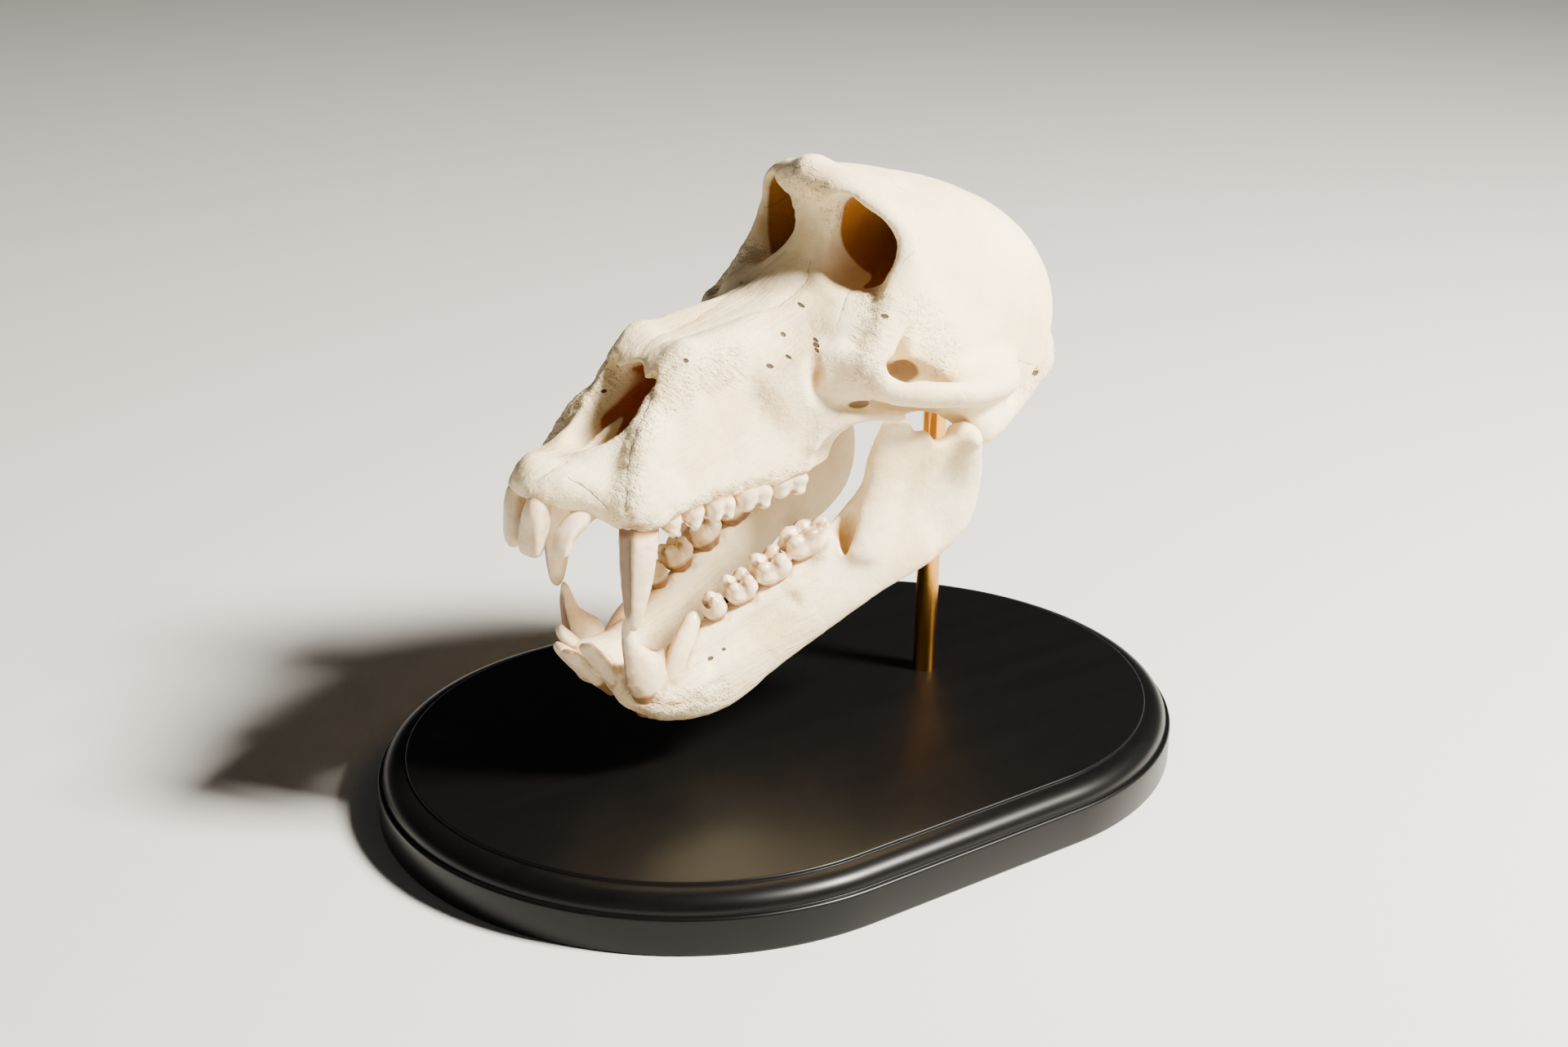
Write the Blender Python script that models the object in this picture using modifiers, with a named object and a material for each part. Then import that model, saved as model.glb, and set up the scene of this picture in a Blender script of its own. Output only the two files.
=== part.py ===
"""Baboon skull with an open jaw, held by a brass rod over a stadium-shaped wooden plaque.

The skull faces -X, its left side is -Y, and the origin is the centre of the plaque's underside.
Driving dimensions are in millimetres and are turned into metres where a mesh is made.
"""
import math

import bmesh
import bpy
import numpy as np
from mathutils import Matrix, Vector

MM = 0.001
SOCKET_GAP = 0.35

PLAQUE_LENGTH = 280.0
PLAQUE_WIDTH = 197.0
PLAQUE_HEIGHT = 19.0
FOOT_CHAMFER = 0.8
LEDGE_HEIGHT = 12.3
LEDGE_WIDTH = 1.6
LEDGE_CHAMFER = 1.0
BEAD_STEP = 1.0
TOP_INSET = 9.1
PLAQUE_ARC_STEPS = 10

ROD_DIAMETER = 7.7
ROD_X = 60.0
ROD_TOP = 117.0
ROD_SINK = 8.0
ROD_SIDES = 24

BONE_VOXEL = 1.7
CRANIUM_KEEP = 0.031
MANDIBLE_KEEP = 0.033
BALL_SEGMENTS = 24
BALL_RINGS = 16
STRAP_SIDES = 14
STRAP_STEPS = 4
CROWN_SIDES = 10
CANINE_SIDES = 8
ROOT_DEPTH = 4.0
SHARP_DEGREES = 40

# A ball is (centre, radii, tilt in degrees about Y). A strap is a list of stations
# (x, y, z, half height, half thickness). Forms with y > 0 are repeated on the other side.
CRANIUM_BALLS = [
    ((48.0, 0, 150.5), (56, 32, 41.5), 20),
    ((64, 0, 132), (34, 29, 21), 8),
    ((14, 0, 176), (20, 24, 22), 0),
    ((23, 24, 178), (14, 10, 17), 0),
    ((24, 18, 185), (17, 14, 12), 0),
    ((2, 25, 159), (15, 12, 9), 0),
    ((-28, 0, 140), (40, 18, 18), 28),
    ((-66, 0, 119), (26, 15, 9), 12),
    ((24, 27, 164), (17, 10, 18), 0),
    ((48, 31, 124), (12, 8, 9.5), 0),
    ((46, 0, 120), (30, 18, 8), 0),
    ((81, 9, 113), (8, 5, 6), 0),
]
FRONTAL = [(8, 0, 194, 9, 14), (22, 0, 190, 10.5, 21), (38, 0, 186, 10.5, 23), (54, 0, 179, 13, 24)]
BROW = [(5, 0, 200, 6, 6.5), (7, 12, 197.3, 5.5, 6), (9.5, 21, 194, 5, 5.5), (12, 29, 190, 4.2, 5),
        (13.5, 33.5, 184, 3.4, 4.5), (13.5, 34.5, 175, 3.4, 4.5), (10, 32.5, 166, 4.5, 5), (3, 28, 160, 6, 5)]
NOSE_BRIDGE = [(6, 0, 196, 8, 9), (-4, 0, 180, 8, 10), (-22, 0, 160.5, 7, 12), (-42, 0, 152, 6, 12),
               (-59, 0, 148, 3.2, 9)]
MUZZLE_RIDGE = [(-1, 11, 171, 7, 6), (-12, 13, 163.5, 7, 6), (-25, 14.5, 156.5, 6.5, 6),
                (-38, 15, 153.5, 6, 5.5), (-50, 14, 151.5, 5.5, 4.5), (-59, 12.5, 145.5, 5, 3.5),
                (-67, 11.5, 137.5, 5, 3.2), (-77, 9.5, 130, 4.5, 3.4), (-87, 7, 124.5, 4.5, 4),
                (-95, 3, 119.5, 4.5, 4)]
MAXILLA_WALL = [(-6, 24, 143, 20, 6), (-24, 21.5, 138, 17, 7), (-44, 20, 133, 15, 7),
                (-60, 17.5, 127, 12, 6.5), (-76, 13, 121, 7, 5)]
UPPER_ALVEOLUS = [(-12, 23.5, 122.5, 8.5, 7), (-28, 24, 120.5, 9, 7.5), (-46, 23, 118.5, 9.5, 7.5),
                  (-61, 22, 117.5, 9.2, 7.5), (-71.5, 20, 114, 11.5, 7.8), (-83, 13.5, 118.5, 7, 6),
                  (-93, 6, 119, 5.5, 5), (-96, 0, 119, 5, 5)]
CHEEK = [(-22, 22, 137, 15, 8), (-10, 30, 147, 13.5, 7), (-2, 37, 149, 13, 5.5), (6, 42.5, 146, 11, 4.5),
         (15, 46.5, 140.5, 7, 4), (26, 47.5, 139, 6.3, 3.5), (37, 45.5, 137, 6, 4), (47, 40, 135.5, 6, 5),
         (55, 34, 134, 6, 5)]
CHEEK_PILLAR = [(13, 34.5, 176, 5, 3), (12, 36, 166, 6.5, 3.5), (8.5, 38.5, 157, 8.5, 4),
                (5, 40.5, 149, 9, 4)]
NUCHAL_CREST = [(106, 0, 128.5, 7, 4), (99, 9, 127, 6, 4), (86, 18, 124, 5, 4), (70, 26.5, 120, 5, 4),
                            (58, 31.5, 119, 5.5, 5), (49, 35.5, 119, 5, 4.5)]
CRANIUM_STRAPS = [FRONTAL, BROW, NOSE_BRIDGE, MUZZLE_RIDGE, MAXILLA_WALL, UPPER_ALVEOLUS, CHEEK,
                  CHEEK_PILLAR, NUCHAL_CREST]

ORBIT = [(-12, 23.5, 181, 13, 13), (4, 21.7, 181, 12.8, 12.4), (15, 20, 180.5, 11.5, 11),
         (24, 17.5, 179, 8, 8), (31, 14.5, 177.5, 4, 4)]
NASAL_APERTURE = [(-84, 0, 131, 3.5, 3), (-77, 0, 134.5, 6.5, 6), (-69, 0, 139.5, 9, 8.6),
                  (-59, 0, 140, 8, 9.5), (-40, 0, 138, 8, 8), (-20, 0, 135, 8, 8), (0, 0, 130, 9, 9),
                  (16, 0, 124, 7, 9)]
TEMPORAL_HOLLOW = [(27, 43, 161, 8, 4), (22, 40, 152, 12, 6), (21, 35.5, 143, 13.5, 8), (24, 36, 122, 15, 14)]
CRANIUM_CUT_BALLS = [
    ((-40, 0, 107), (40, 14, 10), 0),
    ((8, 0, 112), (22, 13, 18), 0),
    ((10, 29, 115), (17, 12, 16), 0),
    ((90, 0, 110), (9, 8, 8), 0),
    ((37, 39, 118.5), (6.5, 13, 7.5), 0),
]
CRANIUM_CUT_STRAPS = [ORBIT, NASAL_APERTURE, TEMPORAL_HOLLOW]

MANDIBLE_BALLS = [
    ((39, 39, 119.5), (4, 9, 4), 0),
]
SYMPHYSIS = [(-77.5, 0, 58.5, 4.5, 10), (-72, 0, 56.5, 6.5, 11.5), (-64, 0, 51, 8.5, 13.5),
             (-54, 0, 45, 9, 14), (-47, 0, 43, 6, 10)]
JAW_BODY = [(-66, 9.5, 53, 7, 6), (-58, 13.5, 49.5, 11.5, 7), (-44, 16.3, 52.5, 14.5, 6.5),
            (-28, 18.8, 61, 13.7, 6.2), (-8, 22.2, 71, 13.2, 6.5), (10, 26.5, 80.5, 12.8, 5.5),
            (26, 30, 88.5, 13, 4)]
RAMUS = [(13, 27.5, 84, 13, 4), (23, 30, 95, 19.5, 3.6), (25, 33, 107, 19.5, 3.2), (24.5, 35, 116, 16.5, 2.8),
         (24, 36, 121, 14, 2.2)]
JAW_ANGLE = [(18, 27, 82, 9, 4), (31, 30, 84.5, 9, 4), (40, 32, 91, 9.5, 4), (44.5, 34, 102, 7.5, 3.5),
             (41, 37.5, 113, 5, 4)]
CORONOID = [(5.5, 27, 88, 5, 4.5), (5.5, 29.5, 104, 5.5, 3.5), (9, 32, 118, 6.5, 3),
            (14.5, 33.8, 127, 4.5, 2.4)]
MANDIBLE_STRAPS = [SYMPHYSIS, JAW_BODY, RAMUS, JAW_ANGLE, CORONOID]
MANDIBLE_CUT_BALLS = [
    ((26.5, 36, 131), (8, 12, 8.5), 0),
]

# A tooth is (name, gum centre, root to tip, half length, half width, crown height, kind).
UPPER_TEETH = [
    ("central_incisor", (-94.3, 5.3, 115.8), (-0.24, 0.02, -1), 5.0, 4.2, 17.5, "incisor"),
    ("lateral_incisor", (-86.0, 12.8, 113), (-0.5, 0.02, -1), 4.2, 3.8, 14.5, "incisor"),
    ("third_premolar", (-62.3, 22.8, 109.6), (0, 0.08, -1), 3.4, 4.5, 6.0, "premolar"),
    ("fourth_premolar", (-54.9, 23.2, 110.4), (0, 0.08, -1), 3.7, 4.9, 6.0, "premolar"),
    ("first_molar", (-46.2, 23.8, 111.2), (0, 0.08, -1), 4.7, 5.5, 6.0, "molar"),
    ("second_molar", (-34.9, 24.2, 112.0), (0, 0.08, -1), 6.3, 6.1, 6.4, "molar"),
    ("third_molar", (-21.6, 24.2, 113.2), (0, 0.06, -1), 6.5, 6.0, 6.4, "molar"),
]
LOWER_TEETH = [
    ("central_incisor", (-79.0, 2.9, 58.5), (-0.75, 0, 1), 2.7, 3.2, 10.5, "incisor"),
    ("lateral_incisor", (-76.5, 8.5, 57.0), (-0.75, 0.08, 1), 2.8, 3.2, 10.5, "incisor"),
    ("fourth_premolar", (-42.5, 15.6, 70.2), (-0.38, -0.06, 1), 4.1, 4.0, 7.5, "premolar"),
    ("first_molar", (-33.5, 16.5, 74.0), (-0.38, -0.06, 1), 5.2, 4.6, 8.0, "molar"),
    ("second_molar", (-22.8, 17.8, 78.5), (-0.38, -0.06, 1), 6.1, 5.3, 8.4, "molar"),
    ("third_molar", (-9.5, 19.4, 84.3), (-0.38, -0.06, 1), 8.0, 5.5, 8.4, "molar"),
]
UPPER_CANINE = [(-72.4, 20.5, 114, 5.8, 4.2), (-73.4, 21.8, 104, 6.8, 4.9), (-74.2, 22.3, 94, 5.8, 4.2),
                (-75.0, 22.2, 84, 4.2, 3.2), (-75.4, 21.6, 76.5, 2.4, 2.0)]
LOWER_CANINE = [(-61.5, 12.5, 46, 4.8, 4.0), (-64.2, 14, 54, 6.0, 4.5), (-68.0, 15.2, 62, 5.2, 3.9),
                (-71.8, 16.2, 70, 3.4, 2.8), (-74.4, 16.8, 76.5, 1.8, 1.6)]
LOWER_THIRD_PREMOLAR = [(-55.0, 16.8, 55, 2.4, 2.4), (-53.6, 16.5, 61, 3.6, 3.0),
                        (-51.8, 16.2, 67, 4.2, 3.3), (-50.8, 16, 72, 2.6, 2.4)]

SKULL = "baboon_skull"
CUTTERS = "cutters"


def clear_scene():
    """Remove every object and collection that the file opened with."""
    for thing in list(bpy.data.objects):
        bpy.data.objects.remove(thing, do_unlink=True)
    for group in list(bpy.data.collections):
        bpy.data.collections.remove(group)


def add_collection(name):
    """A new collection under the scene."""
    group = bpy.data.collections.new(name)
    bpy.context.scene.collection.children.link(group)
    return group


def finish(name, colour, roughness, metallic=0.0):
    """A Principled material with one colour."""
    material = bpy.data.materials.new(name)
    material.use_nodes = True
    shader = material.node_tree.nodes["Principled BSDF"]
    shader.inputs["Base Color"].default_value = (*colour, 1.0)
    shader.inputs["Roughness"].default_value = roughness
    shader.inputs["Metallic"].default_value = metallic
    return material


def add_object(name, bm, group, material=None, smooth=True):
    """Turn a bmesh in millimetres into an object in metres."""
    mesh = bpy.data.meshes.new(name)
    bmesh.ops.recalc_face_normals(bm, faces=bm.faces)
    bmesh.ops.scale(bm, vec=(MM, MM, MM), verts=bm.verts)
    bm.to_mesh(mesh)
    bm.free()
    if smooth:
        mesh.shade_smooth()
        mesh.set_sharp_from_angle(angle=math.radians(SHARP_DEGREES))
    thing = bpy.data.objects.new(name, mesh)
    group.objects.link(thing)
    if material:
        mesh.materials.append(material)
    else:
        thing.hide_render = True
        thing.display_type = "WIRE"
    return thing


def smooth_path(stations, steps):
    """Catmull-Rom curve through the stations, with their sizes carried along."""
    knots = np.array(stations, float)
    knots = np.vstack([2 * knots[0] - knots[1], knots, 2 * knots[-1] - knots[-2]])
    rows = []
    for a, b, c, d in zip(knots[:-3], knots[1:-2], knots[2:-1], knots[3:]):
        t = np.linspace(0, 1, steps, endpoint=False)[:, None]
        rows.append(0.5 * (2 * b + (c - a) * t + (2 * a - 5 * b + 4 * c - d) * t ** 2
                           + (3 * b - a - 3 * c + d) * t ** 3))
    rows.append(knots[-2][None])
    return np.vstack(rows)


def carried_frames(points, reference):
    """Tangent, side and up at each point, with the side carried along without twist."""
    tangents = np.gradient(points, axis=0)
    tangents /= np.linalg.norm(tangents, axis=1)[:, None]
    side = np.array(reference, float)
    sides = []
    for tangent in tangents:
        side = side - tangent * (side @ tangent)
        side = side / np.linalg.norm(side)
        sides.append(side)
    sides = np.array(sides)
    return tangents, sides, np.cross(tangents, sides)


def side_reference(stations):
    """Sections are thin across the skull, or along it where a strap sets out sideways."""
    start = np.subtract(stations[1][:3], stations[0][:3])
    return (1, 0, 0) if abs(start[1]) > 0.8 * np.linalg.norm(start) else (0, 1, 0)


def bridge(bm, rings):
    """Quads between neighbouring rings of vertices."""
    for lower, upper in zip(rings[:-1], rings[1:]):
        for i in range(len(lower)):
            j = (i + 1) % len(lower)
            bm.faces.new((lower[i], lower[j], upper[j], upper[i]))


def skin_rings(bm, rings):
    """Skin neighbouring rings of vertices and close both ends with a fan."""
    bridge(bm, rings)
    for ring in (rings[0], rings[-1]):
        middle = bm.verts.new(sum((v.co for v in ring), Vector()) / len(ring))
        for i in range(len(ring)):
            bm.faces.new((ring[i], ring[(i + 1) % len(ring)], middle))


def add_strap(bm, stations, around=STRAP_SIDES, steps=STRAP_STEPS, flip=1.0, grow=0.0):
    """Oval section carried along a smooth path, with rounded ends."""
    path = smooth_path(stations, steps)
    points, tall, thick = path[:, :3], path[:, 3] + grow, path[:, 4] + grow
    tangents, sides, ups = carried_frames(points, side_reference(stations))
    turn = np.arange(around) * 2 * math.pi / around
    rings = []

    def ring_at(index, reach, scale):
        centre = points[index] + tangents[index] * reach
        rim = (centre + np.outer(np.cos(turn), ups[index]) * tall[index] * scale
               + np.outer(np.sin(turn), sides[index]) * thick[index] * scale)
        rings.append([bm.verts.new((x, y * flip, z)) for x, y, z in rim])

    last = len(points) - 1
    first_reach, last_reach = min(tall[0], thick[0]), min(tall[last], thick[last])
    for angle in (78, 45):
        ring_at(0, -first_reach * math.sin(math.radians(angle)), math.cos(math.radians(angle)))
    for index in range(len(points)):
        ring_at(index, 0.0, 1.0)
    for angle in (45, 78):
        ring_at(last, last_reach * math.sin(math.radians(angle)), math.cos(math.radians(angle)))
    skin_rings(bm, rings)


def add_ball(bm, centre, radii, tilt, flip=1.0):
    """Ellipsoid from a sphere, turned about Y."""
    matrix = (Matrix.Translation((centre[0], centre[1] * flip, centre[2]))
              @ Matrix.Rotation(math.radians(tilt), 4, "Y") @ Matrix.Diagonal((*radii, 1.0)))
    bmesh.ops.create_uvsphere(bm, u_segments=BALL_SEGMENTS, v_segments=BALL_RINGS, radius=1.0, matrix=matrix)


def gather_forms(balls, straps):
    """One bmesh that holds every ball and strap, on both sides of the skull."""
    bm = bmesh.new()
    for centre, radii, tilt in balls:
        for flip in ((1.0, -1.0) if centre[1] else (1.0,)):
            add_ball(bm, centre, radii, tilt, flip)
    for stations in straps:
        paired = any(station[1] for station in stations)
        for flip in ((1.0, -1.0) if paired else (1.0,)):
            add_strap(bm, stations, flip=flip)
    return bm


def fuse(thing, smoothing):
    """Grow the gathered forms together into one skin and soften their joins."""
    remesh = thing.modifiers.new("Fuse", "REMESH")
    remesh.mode = "VOXEL"
    remesh.voxel_size = BONE_VOXEL * MM
    remesh.use_smooth_shade = True
    soften = thing.modifiers.new("Soften", "SMOOTH")
    soften.factor = 0.5
    soften.iterations = smoothing


def cut(thing, cutter):
    """Take the cutter's shape out of the object."""
    boolean = thing.modifiers.new(cutter.name, "BOOLEAN")
    boolean.operation = "DIFFERENCE"
    boolean.solver = "EXACT"
    boolean.object = cutter


def thin_out(thing, keep):
    """Fewer faces, wide ones where the bone is flat."""
    decimate = thing.modifiers.new("Facets", "DECIMATE")
    decimate.ratio = keep


def build_bone(name, balls, straps, cut_balls, cut_straps, keep, material, skull, cutters):
    """A bone is its forms fused, with the hollows taken out of them."""
    bone = add_object(name, gather_forms(balls, straps), skull, material)
    hollows = add_object(name + "_hollows", gather_forms(cut_balls, cut_straps), cutters)
    fuse(hollows, 4)
    fuse(bone, 8)
    cut(bone, hollows)
    fuse(bone, 3)
    thin_out(bone, keep)
    return bone


def crown_rings(kind, crown):
    """Height, length scale, width scale and cusp relief of each ring, root end first."""
    if kind == "incisor":
        return [(-ROOT_DEPTH, 0.55, 0.62, 0.0), (0.0, 0.82, 1.0, 0.0), (0.45 * crown, 1.0, 0.86, 0.0),
                (0.86 * crown, 0.98, 0.42, 0.0), (crown, 0.80, 0.20, 0.0)]
    relief = 0.16 if kind == "molar" else 0.10
    return [(-ROOT_DEPTH, 0.66, 0.66, 0.0), (0.0, 0.93, 0.93, 0.0), (0.5 * crown, 1.0, 1.0, 0.0),
            (0.86 * crown, 0.80, 0.74, relief * crown), (0.70 * crown, 0.42, 0.36, 0.0)]


def add_tooth(bm, gum, axis, length, width, crown, kind, flip, grow=0.0):
    """Stacked oval rings; four cusps rise at the corners of a cheek tooth."""
    axis = np.array(axis, float) / np.linalg.norm(axis)
    along = np.array((-0.97, 0.1, 0.1))
    if kind == "incisor":
        along = np.array((0.25 if gum[1] < 6 else 0.75, 1.0, 0.0))
    along -= axis * (along @ axis)
    along /= np.linalg.norm(along)
    across = np.cross(axis, along)
    turn = math.radians(15) + np.arange(CROWN_SIDES) * 2 * math.pi / CROWN_SIDES
    rings = []
    for height, long_scale, wide_scale, relief in crown_rings(kind, crown):
        end = grow * np.sign(height)
        lift = height + end + relief * np.abs(np.sin(2 * turn))
        rim = (np.array(gum) + np.outer(lift, axis)
               + np.outer(np.cos(turn) * (length * long_scale + grow), along)
               + np.outer(np.sin(turn) * (width * wide_scale + grow), across))
        rings.append([bm.verts.new((x, y * flip, z)) for x, y, z in rim])
    skin_rings(bm, rings)


def build_teeth(jaw, bone, teeth, canine, extra, material, skull, cutters):
    """Every tooth is its own solid, and its bone gets a socket with a thin gap around it."""
    for side, flip in (("left", -1.0), ("right", 1.0)):
        for label, gum, axis, length, width, crown, kind in teeth:
            for grow, group, finish_with in ((0.0, skull, material), (SOCKET_GAP, cutters, None)):
                bm = bmesh.new()
                add_tooth(bm, gum, axis, length, width, crown, kind, flip, grow=grow)
                name = f"{jaw}_{side}_{label}" + ("_socket" if grow else "")
                thing = add_object(name, bm, group, finish_with)
            cut(bone, thing)
        for label, stations in (("canine", canine), *extra):
            for grow, group, finish_with in ((0.0, skull, material), (SOCKET_GAP, cutters, None)):
                bm = bmesh.new()
                add_strap(bm, stations, around=CANINE_SIDES, steps=1, flip=flip, grow=grow)
                name = f"{jaw}_{side}_{label}" + ("_socket" if grow else "")
                thing = add_object(name, bm, group, finish_with)
            cut(bone, thing)


def stadium(inset, height):
    """Outline of two half circles joined by straight sides, set in by a distance."""
    radius = PLAQUE_WIDTH / 2 - inset
    reach = (PLAQUE_LENGTH - PLAQUE_WIDTH) / 2
    angles = np.linspace(-math.pi / 2, math.pi / 2, PLAQUE_ARC_STEPS + 1)
    right = [(reach + radius * math.cos(a), radius * math.sin(a), height) for a in angles]
    left = [(-reach - radius * math.cos(a), -radius * math.sin(a), height) for a in angles]
    return right + left


def build_base(material, skull, cutters):
    """Plaque with a straight lower band, a thin ledge, a rounded bead and a flat top."""
    run = TOP_INSET - LEDGE_WIDTH
    rise = PLAQUE_HEIGHT - LEDGE_HEIGHT - BEAD_STEP
    profile = [(FOOT_CHAMFER, 0.0), (0.0, FOOT_CHAMFER), (0.0, LEDGE_HEIGHT - LEDGE_CHAMFER),
               (LEDGE_CHAMFER, LEDGE_HEIGHT), (LEDGE_WIDTH, LEDGE_HEIGHT)]
    for degrees in (30, 60, 90):
        angle = math.radians(degrees)
        inset = LEDGE_WIDTH + (run - BEAD_STEP) * (1 - math.cos(angle))
        profile.append((inset, LEDGE_HEIGHT + rise * math.sin(angle)))
    profile += [(TOP_INSET, PLAQUE_HEIGHT - BEAD_STEP), (TOP_INSET + 0.4 * BEAD_STEP, PLAQUE_HEIGHT)]
    bm = bmesh.new()
    rings = [[bm.verts.new(point) for point in stadium(*level)] for level in profile]
    bridge(bm, rings)
    bm.faces.new(rings[-1])
    bm.faces.new(list(reversed(rings[0])))
    base = add_object("stand_base", bm, skull, material)
    cut(base, add_rod("rod_hole", cutters, None, SOCKET_GAP))


def add_rod(name, group, material, grow=0.0):
    """Upright rod that stands in a hole in the plaque and reaches into the cranium."""
    foot = PLAQUE_HEIGHT - ROD_SINK - grow
    top = ROD_TOP + grow
    bm = bmesh.new()
    bmesh.ops.create_cone(bm, cap_ends=True, segments=ROD_SIDES, radius1=ROD_DIAMETER / 2 + grow,
                          radius2=ROD_DIAMETER / 2 + grow, depth=top - foot,
                          matrix=Matrix.Translation((ROD_X, 0, (top + foot) / 2)))
    return add_object(name, bm, group, material)


def main():
    clear_scene()
    skull = add_collection(SKULL)
    cutters = add_collection(CUTTERS)
    bone = finish("bone", (0.80, 0.74, 0.62), 0.55)
    enamel = finish("tooth", (0.82, 0.76, 0.62), 0.35)
    brass = finish("brass", (0.80, 0.56, 0.24), 0.2, 1.0)
    lacquer = finish("wood", (0.012, 0.011, 0.011), 0.3)

    build_base(lacquer, skull, cutters)
    add_rod("support_rod", skull, brass)
    cranium = build_bone("cranium", CRANIUM_BALLS, CRANIUM_STRAPS, CRANIUM_CUT_BALLS, CRANIUM_CUT_STRAPS,
                         CRANIUM_KEEP, bone, skull, cutters)
    mandible = build_bone("mandible", MANDIBLE_BALLS, MANDIBLE_STRAPS, MANDIBLE_CUT_BALLS, [],
                          MANDIBLE_KEEP, bone, skull, cutters)
    build_teeth("upper", cranium, UPPER_TEETH, UPPER_CANINE, (), enamel, skull, cutters)
    build_teeth("lower", mandible, LOWER_TEETH, LOWER_CANINE,
                (("third_premolar", LOWER_THIRD_PREMOLAR),), enamel, skull, cutters)
    cut(cranium, bpy.data.objects["rod_hole"])


main()
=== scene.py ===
"""Baboon skull with an open jaw, held by a polished brass rod over a black lacquered plaque.

Lengths in this file are in millimetres until a mesh is made. The skull faces -X and its left side
is -Y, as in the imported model.
"""

import math

import bpy
import numpy as np
from mathutils import Matrix, Vector


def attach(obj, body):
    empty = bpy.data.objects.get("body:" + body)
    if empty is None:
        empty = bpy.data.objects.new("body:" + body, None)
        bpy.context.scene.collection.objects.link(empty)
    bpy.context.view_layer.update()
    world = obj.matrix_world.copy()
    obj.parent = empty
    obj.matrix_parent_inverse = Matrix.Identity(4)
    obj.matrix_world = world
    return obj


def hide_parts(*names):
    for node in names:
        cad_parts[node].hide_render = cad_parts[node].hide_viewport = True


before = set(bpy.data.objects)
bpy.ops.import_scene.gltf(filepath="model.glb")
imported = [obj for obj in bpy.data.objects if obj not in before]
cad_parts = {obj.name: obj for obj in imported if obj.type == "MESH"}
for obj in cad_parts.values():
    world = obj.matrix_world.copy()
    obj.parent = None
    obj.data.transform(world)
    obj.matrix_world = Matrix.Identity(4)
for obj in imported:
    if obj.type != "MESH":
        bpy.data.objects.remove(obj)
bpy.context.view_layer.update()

MM = 0.001

# The bones are modelled as distance fields: the width of a field's cells, the distance that an empty
# field starts with, and how widely forms blend where they join, where they are cut and where a thin
# wall is put back inside.
CRANIUM_CELL = 1.0
MANDIBLE_CELL = 0.8
FAR = 60.0
SOFT_JOIN = 5.0
SOFT_CUT = 1.6
SOFT_WALL = 2.0

# Lines on the bone: the distance that stands for no line near, the height over a line past which a
# point isn't on its surface, and what is then added to the distance.
NO_LINE = 99.0
LINE_HEIGHT = 7.0
OFF_SURFACE = 50.0

# The corners of a unit cube, and the whole numbers that scramble a corner's place into a noise value.
CORNERS = [(x, y, z) for x in (0, 1) for y in (0, 1) for z in (0, 1)]
HASH_FACTORS = (73856093, 19349663, 83492791)
HASH_SEED, HASH_STRETCH, HASH_SHIFT, HASH_FOLD = 668265263, 1103515245, 12345, 1274126177
LOW_BITS = 0x7FFFFFFF

# Round the plaque run a straight side, a narrow ledge and a quarter-round moulding. ROD_FOOT and ROD_TOP
# are the heights where the rod ends, inside the plaque and inside the base of the cranium.
PLAQUE_LENGTH = 280.0
PLAQUE_WIDTH = 197.0
PLAQUE_HEIGHT = 19.0
LEDGE_HEIGHT = 12.3
LEDGE_WIDTH = 1.6
TOP_INSET = 9.1
ROD_DIAMETER = 7.7
ROD_X = 60.0
ROD_TOP = 117.0
ROD_FOOT = 11.0

# Points round half of the plaque, the rod, a cheek tooth and a front tooth.
ARC_POINTS = 72
ROD_COLUMNS = 64
CHEEK_TOOTH_COLUMNS = 88
FRONT_TOOTH_COLUMNS = 72

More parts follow.
